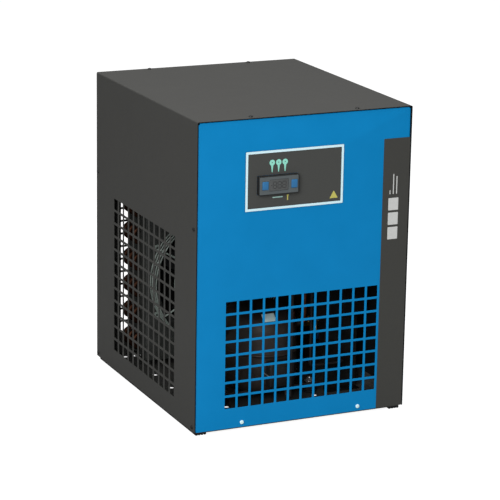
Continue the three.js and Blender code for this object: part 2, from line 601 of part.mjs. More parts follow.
function buildCompressor() {
  const { u, v, r } = COMPRESSOR;
  const { z, sheet, halfU, halfV, arm, waistU, waistV } = FEET;
  const side = [
    [halfU, -halfV],
    [halfU, arm - halfV],
    [waistU, -waistV],
    [waistU, waistV],
    [halfU, halfV - arm],
    [halfU, halfV],
  ];
  const plan = outline([...side, ...side.map(([a, b]) => [-a, -b])]);
  const feet = extruded("z", plan, [z, z + sheet]).translate([u, v, 0]);
  const bosses = [
    rod("u", [DISCHARGE.v, DISCHARGE.low], BOSS.discharge, [u + r - BOSS.root, u + r + BOSS.reach]),
    rod("u", [SUCTION.v, SUCTION.low], BOSS.suction, [u - r - BOSS.reach, u - r + BOSS.root]),
  ];
  const through = [z - CLEAR, z + sheet + CLEAR];
  const holes = mountPlaces().map(({ at }) => rod("z", at, MOUNT.neck + MOUNT.play, through));
  add("compressor_shell", BLACK_PAINT, cut(join([compressorShell(), feet, ...bosses]), holes));
  buildMounts();
  const faceV = v - r * COMPRESSOR.stretch;
  const { half, depth, z0, z1 } = TERMINAL;
  const box = block([u - half, u + half], [faceV - depth, faceV + depth / 3], [z0, z1]);
  const clear = new THREE.CylinderGeometry(r + 2 * GAP, r + 2 * GAP, z1, 20).rotateX(Math.PI / 2);
  clear.scale(1, COMPRESSOR.stretch, 1).translate(u, v, (z0 + z1) / 2);
  add("terminal_cover", BLACK_PLASTIC, box.subtract(solid(clear)));
}

// Rubber mounts on the pan's studs, each gripping the edge of a hole in the compressor's feet.
function buildMounts() {
  const bore = MOUNT.stud + MOUNT.play;
  const under = PAN_TOP + GAP;
  const foot = FEET.z - GAP;
  const over = FEET.z + FEET.sheet + GAP;
  const profile = [
    [bore, under],
    [MOUNT.r, under],
    [MOUNT.r - CLEAR, foot],
    [MOUNT.neck, foot],
    [MOUNT.neck, over],
    [MOUNT.cap, over],
    [MOUNT.cap - CLEAR, FEET.z + MOUNT.rise],
    [bore, FEET.z + MOUNT.rise],
  ];
  for (const { name, at } of mountPlaces()) add(name, RUBBER, turned("z", at, profile, 10));
}

// ---------------------------------------------------------------- heat exchanger and air pipes

function buildExchanger() {
  const { u0, u1, v0, v1, z0, z1, foam, fit } = EXCHANGER;
  const drainStub = rod("z", [DRAIN.u, DRAIN.v], STUB.r, [z0 - STUB.drop, z0 + STUB.root]);
  const suctionStub = rod("u", [SUCTION.v, SUCTION.z], SUCTION.r, [u0 - STUB.reach, u0 + STUB.root]);
  add("exchanger_core", ALUMINIUM, join([block([u0, u1], [v0, v1], [z0, z1]), drainStub, suctionStub]));

  const behind = [v1 - CLEAR, v1 + foam + CLEAR];
  const openings = [
    block([u0 - fit, u1 + fit], [v0 - fit, v1 + fit], [z0 - fit, z1 + fit]),
    rod("v", [PORT.inlet, PORT.u], PORT.pipe + CLEAR, behind, 10),
    rod("v", [PORT.outlet, PORT.u], PORT.pipe + CLEAR, behind, 10),
    rod("v", [CAPILLARY.top, CAPILLARY.u], 2 * CAPILLARY.r, behind),
    rod("z", [DRAIN.u, DRAIN.v], STUB.r + CLEAR, [z0 - foam - CLEAR, z0]),
    rod("u", [SUCTION.v, SUCTION.z], SUCTION.r + CLEAR, [u0 - foam - CLEAR, u0]),
  ];
  const half = (width) => cut(block(width, [v0 - foam, v1 + foam], [z0 - foam, z1 + foam]), openings);
  add("insulation_left", FOAM, half([u0 - foam, PORT.u - GAP / 2]));
  add("insulation_right", FOAM, half([PORT.u + GAP / 2, u1 + foam]));
  buildStand();
  buildAirPipes();
}

function buildStand() {
  const { v0, v1, z0, foam } = EXCHANGER;
  const width = [STAND.u0, STAND.u1];
  const top = z0 - foam - GAP;
  const front = v0 - foam + STAND.inset;
  const back = v1 + foam - STAND.inset;
  const stand = join([
    block(width, [front, back], [top - STAND.sheet, top]),
    block(width, [front, front + STAND.sheet], [PAN_TOP + GAP, top]),
    block(width, [back - STAND.sheet, back], [PAN_TOP + GAP, top]),
  ]);
  const passage = rod("z", [DRAIN.u, DRAIN.v], STUB.r + STUB.root, [top - STAND.sheet - CLEAR, top + CLEAR]);
  add("exchanger_stand", BLACK_PAINT, stand.subtract(passage));
}

function buildAirPipes() {
  const { neck, pipe: outer, collar, collarV } = PORT;
  const from = EXCHANGER.v1 + GAP;
  const shoulder = BACK_V + GAP;
  const out = CABINET.d + PORT_REACH;
  const profile = [
    [neck, from],
    [outer, from],
    [outer, collarV],
    [collar, collarV],
    [collar, shoulder],
    [SOCKET.r, shoulder],
    [SOCKET.r, out],
    [SOCKET.bore, out],
    [SOCKET.bore, out - SOCKET.deep],
    [neck, out - SOCKET.deep],
  ];
  add("air_inlet_pipe", BRASS, turned("v", [PORT.inlet, PORT.u], profile, 12));
  add("air_outlet_pipe", BRASS, turned("v", [PORT.outlet, PORT.u], profile, 12));
}

// ---------------------------------------------------------------- refrigerant lines

function buildDischarge() {
  const { u, v, r, low } = DISCHARGE;
  const [end, row, height] = coilCorners()[0];
  const over = SHROUD.z1 + DISCHARGE.over;
  const turn = end + DISCHARGE.aside;
  const corners = [
    [COMPRESSOR.u + COMPRESSOR.r + BOSS.reach + GAP, v, low],
    [u, v, low],
    [u, v, over],
    [u, row, over],
    [turn, row, over],
    [turn, row, height],
    [end + GAP, row, height],
  ];
  add("discharge_line", COPPER, swept(bent(corners, DISCHARGE.bend, 2), r));
}

function buildSuction() {
  const { v, z, r, low, turn } = SUCTION;
  const corners = [
    [EXCHANGER.u0 - STUB.reach - GAP, v, z],
    [turn, v, z],
    [turn, v, low],
    [COMPRESSOR.u - COMPRESSOR.r - BOSS.reach - GAP, v, low],
  ];
  add("suction_line", FOAM, swept(bent(corners, SUCTION.bend), r));
}

function buildLiquid() {
  const [end, row, height] = coilCorners().at(-1);
  const { u, v, r, z0, z1, spoutR, tipR } = DRIER;
  const corners = [[end + GAP, row, height], [u, row, height], [u, v, height], [u, v, z0 - GAP]];
  add("liquid_line", COPPER, swept(bent(corners, LIQUID.bend), LIQUID.r));
  const can = [
    [0, z0],
    [spoutR, z0],
    [spoutR, z0 + DRIER.spout],
    [r, z0 + DRIER.end],
    [r, z1 - DRIER.end],
    [tipR, z1 - DRIER.spout],
    [tipR, z1],
    [0, z1],
  ];
  add("filter_drier", COPPER, turned("z", [u, v], can, 12));
}

// The capillary: a close coil above the drier, then a run into the exchanger.
function buildCapillary() {
  const { radius, turns, perTurn, rise, top, lead, r } = CAPILLARY;
  const { u, v, z1 } = DRIER;
  const base = z1 + lead;
  const places = [[u, v, z1 + GAP], [u, v, base - lead / 3]];
  for (let i = 0; i <= turns * perTurn; i++) {
    const turn = (2 * Math.PI * i) / perTurn - Math.PI / 2;
    const z = base + (rise * i) / perTurn;
    places.push([u + radius * Math.cos(turn), v + radius * (1 + Math.sin(turn)), z]);
  }
  places.push([u - r, v - radius / 2, top - 3 * r]);
  places.push([CAPILLARY.u, v - radius, top]);
  places.push([CAPILLARY.u, EXCHANGER.v1 + GAP, top]);
  add("capillary_tube", COPPER, swept(runThrough(places), r, 5));
}

// The hot gas bypass valve, teed from the discharge line into the suction line.
function buildHotGasValve() {
  const { u, z0, neck, bodyLow, bodyHigh, cap, z1 } = HOT_GAS;
  const profile = [
    [0, z0],
    [HOT_GAS_R.neck, z0],
    [HOT_GAS_R.neck, neck],
    [HOT_GAS_R.body, bodyLow],
    [HOT_GAS_R.body, bodyHigh],
    [HOT_GAS_R.cap, cap],
    [HOT_GAS_R.cap, z1],
    [0, z1],
  ];
  const body = turned("z", [u, DISCHARGE.v], profile, 10);
  const feed = rod("u", [DISCHARGE.v, HOT_GAS.feed], DISCHARGE.r, [u, DISCHARGE.u - DISCHARGE.r - GAP]);
  const corners = [
    [u, DISCHARGE.v, z0 + CLEAR],
    [u, DISCHARGE.v, SUCTION.z],
    [u, SUCTION.v - SUCTION.r - GAP, SUCTION.z],
  ];
  const bleed = swept(bent(corners, HOT_GAS_R.bend, 2), HOT_GAS_R.pipe);
  add("hot_gas_valve", BRASS, join([body, feed, bleed]));
}

// ---------------------------------------------------------------- condensate drain

function buildDrainValve() {
  const { u, v, low, waist, high, pivotZ, front, back } = DRAIN;
  const top = EXCHANGER.z0 - STUB.drop - GAP;
  const profile = [
    [0, low],
    [DRAIN_R.end, low],
    [DRAIN_R.body, waist],
    [DRAIN_R.body, high],
    [DRAIN_R.top, top],
    [0, top],
  ];
  const body = join([
    turned("z", [u, v], profile, 10),
    rod("v", [pivotZ, u], DRAIN_R.branch, [v - front, v]),
    rod("v", [BRANCH_Z, u], DRAIN_R.branch, [v, v + back]),
  ]);
  add("drain_valve_body", BRASS, body);
  const hubFront = v - front - LEVER.hubV;
  const barFront = hubFront + LEVER.overlap - LEVER.thick;
  const lever = join([
    rod("v", [pivotZ, u], LEVER.hub, [hubFront, v - front - GAP], 12),
    block(
      [u - LEVER.half, u + LEVER.half],
      [barFront, barFront + LEVER.thick],
      [pivotZ - LEVER.down, pivotZ + LEVER.up],
    ),
  ]);
  add("drain_valve_lever", BLACK_PLASTIC, lever);
}

function buildDrainOutlet() {
  const { u } = DRAIN;
  const start = DRAIN.v + DRAIN.back + GAP;
  const { length, half, low, high, coilHalf, coilLow, coilHigh } = SOLENOID;
  const solenoid = join([
    block([u - half, u + half], [start, start + length], [low, high]),
    rod("z", [u, start + length / 2], SOLENOID_STEM.r, [high - CLEAR, high + SOLENOID_STEM.rise]),
    block([u - coilHalf, u + coilHalf], [start - CLEAR, start + length + CLEAR], [coilLow, coilHigh]),
  ]);
  add("drain_solenoid", BLACK_PLASTIC, solenoid);
  const exit = start + length + GAP;
  const corners = [
    [u, exit, BRANCH_Z],
    [u, exit + HOSE.out, BRANCH_Z],
    [OUTLET.u, exit + HOSE.out, BRANCH_Z],
    [OUTLET.u, exit + HOSE.out, OUTLET.z],
    [OUTLET.u, HOSE.end, OUTLET.z],
  ];
  add("drain_hose", CLEAR_HOSE, swept(bent(corners, HOSE.bend), HOSE.r));
  const { bore, r, nut, nutDepth, tip, barb, end } = OUTLET;
  const inside = HOSE.end + GAP;
  const shoulder = BACK_V + GAP;
  const nipple = [
    [bore, inside],
    [HOSE.r, inside],
    [r, inside + r],
    [r, shoulder],
    [nut, shoulder],
    [nut, shoulder + nutDepth],
    [tip, shoulder + nutDepth],
    [tip, end - barb],
    [r, end - barb],
    [HOSE.r, end],
    [bore, end],
  ];
  add("drain_outlet", BRASS, turned("v", [OUTLET.z, OUTLET.u], nipple, 10));
}

// ---------------------------------------------------------------- electrics

// The cord's path: out of the gland, then in loops behind the cabinet, up to the plug.
function cordPlaces() {
  const { u, z, loop, r, turns, perTurn, off, slack } = CORD;
  const from = SWITCH.u;
  const first = BACK_V + off + r;
  const places = [
    [from, BACK_V - 2 * r, GLAND.z],
    [from, BACK_V + 4 * r, GLAND.z],
    [from + r / 2, BACK_V + 5 * r, GLAND.z - r],
    [from + 2 * r, BACK_V + 5 * r, GLAND.z - 4 * r],
    [from + 10 * r, first + r, z - loop + r],
  ];
  for (let i = 0; i <= turns * perTurn; i++) {
    const turn = (2 * Math.PI * i) / perTurn - Math.PI / 2;
    const v = first + (2 * r + slack) * (i / perTurn);
    places.push([u + loop * Math.cos(turn), v, z + loop * Math.sin(turn)]);
  }
  return places;
}

function buildCord() {
  const places = cordPlaces();
  const [u, v, z] = places.at(-1);
  const { half, neckHalf, low, high, front, back, pin, pinTop } = PLUG;
  const pinAt = (side) => rod("z", [u + side * neckHalf, v - CLEAR], pin, [z + high - CLEAR, z + pinTop], 6);
  const plug = join([
    block([u - half, u + half], [v - front, v + back], [z + low, z + high]),
    block([u - neckHalf, u + neckHalf], [v - back, v + low], [z - low, z + neckHalf]),
    pinAt(-1),
    pinAt(1),
  ]);
  add("power_cord", RUBBER, swept(runThrough(places), CORD.r).add(plug));

  const { play, thread, v0, nut, nutDepth, v1 } = GLAND;
  const bore = CORD.r + play;
  const face = BACK_V + GAP;
  const gland = [
    [bore, v0],
    [thread, v0],
    [thread, face],
    [nut, face],
    [nut, face + nutDepth],
    [GLAND_DOME.r, face + GLAND_DOME.depth],
    [thread, v1],
    [bore, v1],
  ];
  add("cord_gland", BLACK_PLASTIC, turned("v", [GLAND.z, SWITCH.u], gland, 10));
}

// The main switch: a hollow body through the back panel, with a rocker on a horizontal axis.
function buildSwitch() {
  const { u, z, w, h, wall, bezel, rise, front } = SWITCH;
  const { well, cut: play } = SWITCH_FIT;
  const body = cut(
    join([
      block(span(u, w), [front, BACK_V + CLEAR], span(z, h)),
      block(span(u, w + 2 * bezel), [BACK_V + GAP, BACK_V + rise], span(z, h + 2 * bezel)),
    ]),
    [block(span(u, w - 2 * wall), [BACK_V - well, BACK_V + rise + CLEAR], span(z, h - 2 * wall + play))],
  );
  add("switch_body", BLACK_PLASTIC, body);
  const { half, tall, proud, back, foot, waist, flush, corner } = ROCKER;
  const shape = outline([
    [BACK_V + waist, z],
    [BACK_V + flush, z + tall],
    [BACK_V - foot, z + tall],
    [BACK_V - back, z + foot],
    [BACK_V - back, z - foot],
    [BACK_V - corner, z - tall],
    [BACK_V + proud, z - tall],
  ]);
  add("switch_rocker", GREEN_PLASTIC, extruded("u", shape, [u - half, u + half]));
}

buildCabinet();
buildLabel();
buildController();
buildCondenser();
buildShroud();
buildRotor();
buildMotor();
buildGuard();
buildCompressor();
buildExchanger();
buildDischarge();
buildSuction();
buildLiquid();
buildCapillary();
buildHotGasValve();
buildDrainValve();
buildDrainOutlet();
buildCord();
buildSwitch();

export default root;
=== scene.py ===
import math

import bmesh
import bpy
from mathutils import Matrix, Vector


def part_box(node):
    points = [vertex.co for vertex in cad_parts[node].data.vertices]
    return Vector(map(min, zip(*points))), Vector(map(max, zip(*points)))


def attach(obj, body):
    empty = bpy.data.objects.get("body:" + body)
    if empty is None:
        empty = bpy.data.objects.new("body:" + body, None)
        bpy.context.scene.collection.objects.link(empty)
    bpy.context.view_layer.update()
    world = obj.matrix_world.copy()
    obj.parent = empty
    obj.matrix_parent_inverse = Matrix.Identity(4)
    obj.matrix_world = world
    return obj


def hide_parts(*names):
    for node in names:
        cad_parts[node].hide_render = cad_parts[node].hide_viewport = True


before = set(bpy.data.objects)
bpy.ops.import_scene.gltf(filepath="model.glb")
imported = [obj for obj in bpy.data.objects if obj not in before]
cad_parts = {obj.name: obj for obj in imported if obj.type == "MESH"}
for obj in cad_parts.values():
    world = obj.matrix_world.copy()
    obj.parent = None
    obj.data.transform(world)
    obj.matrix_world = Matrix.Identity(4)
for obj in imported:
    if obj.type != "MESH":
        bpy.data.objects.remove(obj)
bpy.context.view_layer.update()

# ---------------------------------------------------------------- places and sizes
# Everything is built in millimetres in the row frame: +X right, +Y back, +Z up. piece() turns it into metres.

MM = 0.001
PLACES = {node: [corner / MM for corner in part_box(node)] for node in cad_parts}


def low(node):
    return PLACES[node][0]


def high(node):
    return PLACES[node][1]


def middle(node):
    return (low(node) + high(node)) / 2


COVER_LOW, COVER_HIGH = PLACES["wrap_cover"]
LEFT, FRONT = COVER_LOW.x, COVER_LOW.y
FOLD = 2.4  # outside radius of the sheets' folds
FOLD_ARC = FOLD * math.pi / 2
FOLD_STEPS = 5
SHEET = {"cover": 1.5, "panel": 1.2}
HOLE, PITCH = 20.0, 24.0  # square holes of the grilles
GRILLES = {  # first hole from the cover's left or front edge and from the floor, columns, rows
    "front": (55.5, 42.0, 12, 8),
    "side": (91.0, 42.5, 12, 12),
    "back": (46.7, 46.0, 12, 12),
}
BEZEL = {"width": 73.0, "height": 32.0}
CASE_SIZE = {"width": 67.0, "height": 27.0}
COIL = {"pitch": 25.0, "row_pitch": 22.0, "rows": 3, "per_row": 12, "tube": 4.6, "tail": 14.0}
FAN_OPENING = 104.0
SCREW_HOLE = 2.6


# ---------------------------------------------------------------- mesh building

def point_on(axis, a, b, along):
    """A point from its two places across an axis and its place along it."""
    return Vector({"x": (along, a, b), "y": (a, along, b), "z": (a, b, along)}[axis])


def add_box(bm, first, second, rounding=0.0, segments=3):
    """A block between two corners, with its edges rounded. Returns its vertices."""
    first, second = Vector(first), Vector(second)
    verts = bmesh.ops.create_cube(bm, size=1)["verts"]
    size, centre = second - first, (first + second) / 2
    for vert in verts:
        vert.co = centre + Vector(c * s for c, s in zip(vert.co, size))
    if not rounding:
        return verts
    edges = list({edge for vert in verts for edge in vert.link_edges})
    made = bmesh.ops.bevel(
        bm, geom=edges, offset=rounding, segments=segments, profile=0.5, affect="EDGES", clamp_overlap=True
    )
    return made["verts"]


def add_turned(bm, axis, centre, profile, sides=32):
    """Turns (radius, distance) points about an axis through centre. The profile closes on itself."""
    centre = Vector(centre)
    rings = []
    for radius, along in profile:
        count = sides if radius > 1e-6 else 1
        ring = []
        for i in range(count):
            angle = 2 * math.pi * i / count
            ring.append(
                bm.verts.new(centre + point_on(axis, radius * math.cos(angle), radius * math.sin(angle), along))
            )
        rings.append(ring)
    for ring, following in zip(rings, rings[1:] + rings[:1]):
        if len(ring) == len(following) == 1:
            continue
        for i in range(sides):
            j = (i + 1) % sides
            corners = [ring[i % len(ring)], ring[j % len(ring)]]
            corners += [following[j % len(following)], following[i % len(following)]]
            bm.faces.new(list(dict.fromkeys(corners)))
    return [vert for ring in rings for vert in ring]


def add_rod(bm, axis, centre, radius, start, end, sides=24, chamfer=0.0):
    profile = [(0, start), (radius - chamfer, start), (radius, start + chamfer)]
    profile += [(radius, end - chamfer), (radius - chamfer, end), (0, end)]
    return add_turned(bm, axis, centre, list(dict.fromkeys(profile)), sides)


def rounded(corners, bend, steps=6):
    """A path through corner points, with each corner rounded to a bend radius."""
    corners = [Vector(c) for c in corners]
    path = [corners[0]]
    for before, corner, after in zip(corners, corners[1:], corners[2:]):
        to_before, to_after = (before - corner).normalized(), (after - corner).normalized()
        half = to_before.angle(to_after) / 2
        centre = corner + (to_before + to_after).normalized() * bend / math.sin(half)
        start = corner + to_before * bend / math.tan(half) - centre
        end = corner + to_after * bend / math.tan(half) - centre
        axis = start.cross(end).normalized()
        for step in range(steps + 1):
            turn = Matrix.Rotation((math.pi - 2 * half) * step / steps, 3, axis)
            path.append(centre + turn @ start)
    return path + [corners[-1]]


def add_tube(bm, path, radius, sides=14, closed=False):
    """A round bar along a path, with flat ends unless it closes on itself."""
    count = len(path)
    across = None
    rings = []
    for i, place in enumerate(path):
        ahead = path[(i + 1) % count] if closed else path[min(i + 1, count - 1)]
        behind = path[i - 1] if closed or i else path[0]
        along = (ahead - behind).normalized()
        across = across or along.orthogonal().normalized()
        across = (across - along * across.dot(along)).normalized()
        other = along.cross(across)
        size = radius[i] if isinstance(radius, list) else radius
        ring = []
        for k in range(sides):
            angle = 2 * math.pi * k / sides
            ring.append(bm.verts.new(place + size * (across * math.cos(angle) + other * math.sin(angle))))
        rings.append(ring)
    for ring, following in zip(rings, rings[1:] + (rings[:1] if closed else [])):
        for k in range(sides):
            j = (k + 1) % sides
            bm.faces.new((ring[k], ring[j], following[j], following[k]))
    if not closed:
        bm.faces.new(rings[0])
        bm.faces.new(rings[-1])
    return [vert for ring in rings for vert in ring]


def add_prism(bm, axis, outline, start, end):
    """A flat outline of (a, b) points pushed along an axis."""
    ends = [[bm.verts.new(point_on(axis, a, b, at)) for a, b in outline] for at in (start, end)]
    for loop in ends:
        bm.faces.new(loop)
    for i in range(len(outline)):
        bm.faces.new((ends[0][i - 1], ends[0][i], ends[1][i], ends[1][i - 1]))
    return ends[0] + ends[1]


def circle(a, b, radius, sides=24, start=0.0):
    angles = [start + 2 * math.pi * i / sides for i in range(sides)]
    return [(a + radius * math.cos(angle), b + radius * math.sin(angle)) for angle in angles]


def rectangle(a, b, width, height, rounding=0.8, steps=3):
    """A rectangle with its middle at (a, b) and its corners rounded."""
    points = []
    for quarter, (sa, sb) in enumerate([(1, 1), (-1, 1), (-1, -1), (1, -1)]):
        for step in range(steps + 1):
            angle = (quarter + step / steps) * math.pi / 2
            points.append((
                a + sa * (width / 2 - rounding) + rounding * math.cos(angle),
                b + sb * (height / 2 - rounding) + rounding * math.sin(angle),
            ))
    return points


def flat_sheet(outline, holes):
    """A flat pattern in the (a, b) plane, facing +c, with its holes left open."""
    bm = bmesh.new()
    for loop in [outline, *holes]:
        verts = [bm.verts.new((a, b, 0)) for a, b in loop]
        for first, second in zip(verts, verts[1:] + verts[:1]):
            bm.edges.new((first, second))
    bmesh.ops.triangle_fill(bm, edges=bm.edges[:], use_beauty=True)
    bm.normal_update()
    bmesh.ops.reverse_faces(bm, faces=[face for face in bm.faces if face.normal.z < 0])
    return bm


def bent(at, sign, edge):
    """Where a fold at an outer edge takes a flat place: the new place and the depth behind the face."""
    past = sign * (at - edge) + FOLD
    if past <= 0:
        return at, 0.0
    if past >= FOLD_ARC:
        return edge, FOLD + past - FOLD_ARC
    angle = past / FOLD
    return edge - sign * FOLD * (1 - math.sin(angle)), FOLD * (1 - math.cos(angle))


def fold_sheet(bm, folds, place):
    """Folds a flat pattern at (direction, sign, outer edge) lines, then puts each point at place(a, b, depth)."""
    for direction, sign, edge in folds:
        for step in range(FOLD_STEPS + 1):
            at, normal = Vector(), Vector()
            at[direction] = edge + sign * (FOLD_ARC * step / FOLD_STEPS - FOLD)
            normal[direction] = 1
            everything = bm.verts[:] + bm.edges[:] + bm.faces[:]
            bmesh.ops.bisect_plane(bm, geom=everything, plane_co=at, plane_no=normal, dist=1e-4)
    for vert in bm.verts:
        flat, depth = [vert.co.x, vert.co.y], 0.0
        for direction, sign, edge in folds:
            flat[direction], deeper = bent(flat[direction], sign, edge)
            depth += deeper
        vert.co = place(flat[0], flat[1], depth)
    return bm


def flanged_outline(a_span, b_span, flanges, notch=0.8):
    """Outline of a flat pattern: a face that ends where its folds start, with flanges on some of its sides.

    flanges gives the depth of the left, right, low and high flange, or 0 for a side that isn't folded."""
    left, right, lower, upper = [depth and FOLD_ARC + depth - FOLD for depth in flanges]
    a0, a1 = a_span[0] + (FOLD if left else 0), a_span[1] - (FOLD if right else 0)
    b0, b1 = b_span[0] + (FOLD if lower else 0), b_span[1] - (FOLD if upper else 0)
    points = []
    if lower:
        points += [(a0 + notch, b0), (a0 + notch, b0 - lower), (a1 - notch, b0 - lower), (a1 - notch, b0)]
    points.append((a1, b0))
    if right:
        points += [(a1, b0 + notch), (a1 + right, b0 + notch), (a1 + right, b1 - notch), (a1, b1 - notch)]
    points.append((a1, b1))
    if upper:
        points += [(a1 - notch, b1), (a1 - notch, b1 + upper), (a0 + notch, b1 + upper), (a0 + notch, b1)]
    points.append((a0, b1))
    if left:
        points += [(a0, b1 - notch), (a0 - left, b1 - notch), (a0 - left, b0 + notch), (a0, b0 + notch)]
    points.append((a0, b0))
    return points


def piece(name, bm, material, stands_for=(), body="cabinet", edge=0.0, thickness=0.0, crease=35, rim=0, back=0):
    """Makes an object of a mesh built in millimetres, and lets it ride on a body.

    edge rounds its sharp edges. thickness makes a solid of an open sheet, towards its back. A cut edge and the
    back take the material that stands rim or back places after their face's own."""
    if not thickness:
        bmesh.ops.recalc_face_normals(bm, faces=bm.faces[:])
    mesh = bpy.data.meshes.new(name)
    bm.to_mesh(mesh)
    bm.free()
    mesh.transform(Matrix.Scale(MM, 4))
    for each in material if isinstance(material, list) else [material]:
        mesh.materials.append(each)
    mesh.shade_smooth()
    made = bpy.data.objects.new(name, mesh)
    bpy.context.scene.collection.objects.link(made)
    if thickness:
        solidify = made.modifiers.new("thickness", "SOLIDIFY")
        solidify.thickness, solidify.offset = thickness * MM, -1
        solidify.use_even_offset = True
        solidify.material_offset_rim, solidify.material_offset = rim, back
    if edge:
        bevel = made.modifiers.new("edge", "BEVEL")
        bevel.width, bevel.segments = edge * MM, 2
        bevel.limit_method, bevel.angle_limit = "ANGLE", math.radians(crease)
        bevel.harden_normals = True
    else:
        mesh.set_sharp_from_angle(angle=math.radians(crease))
    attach(made, body)
    nodes = [stands_for] if isinstance(stands_for, str) else stands_for
    if nodes:
        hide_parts(*nodes)
    return made


def transformed(bm, verts, matrix):
    bmesh.ops.transform(bm, matrix=matrix, verts=verts)


# ---------------------------------------------------------------- materials

def linear(red, green, blue):
    """A colour given as 0 to 255 on screen."""
    shares = [value / 255 for value in (red, green, blue)]
    return [s / 12.92 if s <= 0.04045 else ((s + 0.055) / 1.055) ** 2.4 for s in shares] + [1]


class Recipe:
    """A procedural material round a Principled shader. Texture coordinates are in millimetres."""

    def __init__(self, name, color, roughness, metallic=0.0, stretch=(1, 1, 1), specular=0.5):
        self.material = bpy.data.materials.new(name)
        self.material.use_nodes = True
        self.nodes, self.links = self.material.node_tree.nodes, self.material.node_tree.links
        self.shader = self.nodes["Principled BSDF"]
        self.shader.inputs["Base Color"].default_value = linear(*color)
        self.shader.inputs["Roughness"].default_value = roughness
        self.shader.inputs["Metallic"].default_value = metallic
        self.shader.inputs["Specular IOR Level"].default_value = specular
        self.color, self.roughness = linear(*color), roughness
        coordinates = self.nodes.new("ShaderNodeTexCoord")
        mapping = self.nodes.new("ShaderNodeMapping")
        mapping.inputs["Scale"].default_value = [1 / (MM * s) for s in stretch]
        self.links.new(coordinates.outputs["Object"], mapping.inputs["Vector"])
        self.place = mapping.outputs["Vector"]
        self.bump = None

    def noise(self, size, detail=2.0):
        texture = self.nodes.new("ShaderNodeTexNoise")
        texture.inputs["Scale"].default_value = 1 / size
        texture.inputs["Detail"].default_value = detail
        self.links.new(self.place, texture.inputs["Vector"])
        return texture.outputs["Fac"]

    def cells(self, size, feature="F1"):
        texture = self.nodes.new("ShaderNodeTexVoronoi")
        texture.feature = feature
        texture.inputs["Scale"].default_value = 1 / size
        self.links.new(self.place, texture.inputs["Vector"])
        return texture

    def spread(self, source, start, end, low_in=0.3, high_in=0.7):
        """Takes the useful part of a pattern to a range of values."""
        ranged = self.nodes.new("ShaderNodeMapRange")
        ranged.inputs["From Min"].default_value, ranged.inputs["From Max"].default_value = low_in, high_in
        ranged.inputs["To Min"].default_value, ranged.inputs["To Max"].default_value = start, end
        self.links.new(source, ranged.inputs["Value"])
        return ranged.outputs["Result"]

    def mottle(self, source, share, rough_share=None):
        """Varies colour and roughness with a pattern, by a share each way."""
        rough_share = share if rough_share is None else rough_share
        scaled = self.nodes.new("ShaderNodeVectorMath")
        scaled.operation = "SCALE"
        scaled.inputs[0].default_value = self.color[:3]
        self.links.new(self.spread(source, 1 - share, 1 + share), scaled.inputs["Scale"])
        self.links.new(scaled.outputs["Vector"], self.shader.inputs["Base Color"])
        rough = self.spread(source, self.roughness * (1 - rough_share), self.roughness * (1 + rough_share))
        self.links.new(rough, self.shader.inputs["Roughness"])
        return self

    def blot(self, source, color, low_in=0.55, high_in=0.75):
        """Lays a second colour over the base where a pattern is high."""
        mix = self.nodes.new("ShaderNodeMix")
        mix.data_type = "RGBA"
        base = self.shader.inputs["Base Color"]
        if base.is_linked:
            self.links.new(base.links[0].from_socket, mix.inputs["A"])
        else:
            mix.inputs["A"].default_value = base.default_value
        mix.inputs["B"].default_value = linear(*color)
        self.links.new(self.spread(source, 0, 1, low_in, high_in), mix.inputs["Factor"])
        self.links.new(mix.outputs["Result"], base)
        return self

    def relief(self, source, height):
        """Adds bumps of a height in millimetres."""
        bump = self.nodes.new("ShaderNodeBump")
        bump.inputs["Distance"].default_value = height * MM
        self.links.new(source, bump.inputs["Height"])
        if self.bump:
            self.links.new(self.bump, bump.inputs["Normal"])
        self.bump = bump.outputs["Normal"]
        self.links.new(self.bump, self.shader.inputs["Normal"])
        return self

    def rubbed(self, color, radius=0.8):
        """Shows another colour along sharp edges."""
        bevel, geometry = self.nodes.new("ShaderNodeBevel"), self.nodes.new("ShaderNodeNewGeometry")
        bevel.inputs["Radius"].default_value = radius * MM
        dot = self.nodes.new("ShaderNodeVectorMath")
        dot.operation = "DOT_PRODUCT"
        self.links.new(bevel.outputs["Normal"], dot.inputs[0])
        self.links.new(geometry.outputs["Normal"], dot.inputs[1])
        return self.blot(dot.outputs["Value"], color, 0.99, 0.86)


def powder_coat(name, color, roughness=0.55):
    recipe = Recipe(name, color, roughness, specular=0.2)
    recipe.mottle(recipe.noise(60, 3), 0.025, 0.08)
    recipe.rubbed([min(255, value * 1.12 + 4) for value in color], 0.5)
    return recipe.relief(recipe.noise(1.4), 0.03).relief(recipe.noise(0.35), 0.012).material


def plastic(name, color, roughness=0.45, grain=0.02, size=0.5):
    recipe = Recipe(name, color, roughness)
    recipe.mottle(recipe.noise(9), 0.04, 0.12)
    return recipe.relief(recipe.noise(size), grain).material


def enamel(name, color, roughness=0.32):
    recipe = Recipe(name, color, roughness)
    recipe.mottle(recipe.noise(22, 4), 0.12, 0.25)
    recipe.blot(recipe.noise(3, 4), [min(255, value * 1.8 + 12) for value in color], 0.66, 0.8)
    return recipe.relief(recipe.noise(2.2), 0.05).relief(recipe.noise(0.5), 0.015).material


def zinc_steel(name, color=(168, 171, 172), roughness=0.42):
    recipe = Recipe(name, color, roughness, metallic=0.9)
    spangle = recipe.cells(7).outputs["Color"]
    recipe.mottle(spangle, 0.13, 0.2)
    return recipe.relief(recipe.noise(0.9), 0.01).material


def drawn_metal(name, color, roughness, stain, stretch=(1, 1, 1)):
    recipe = Recipe(name, color, roughness, metallic=1.0, stretch=stretch)
    recipe.mottle(recipe.noise(14, 4), 0.14, 0.25)
    recipe.blot(recipe.noise(8, 5), stain, 0.55, 0.78)
    return recipe.relief(recipe.noise(0.8), 0.012).material


def rubber_skin(name, color, roughness=0.75):
    recipe = Recipe(name, color, roughness, specular=0.3)
    recipe.mottle(recipe.noise(12, 3), 0.15)
    return recipe.relief(recipe.noise(0.6), 0.03).material


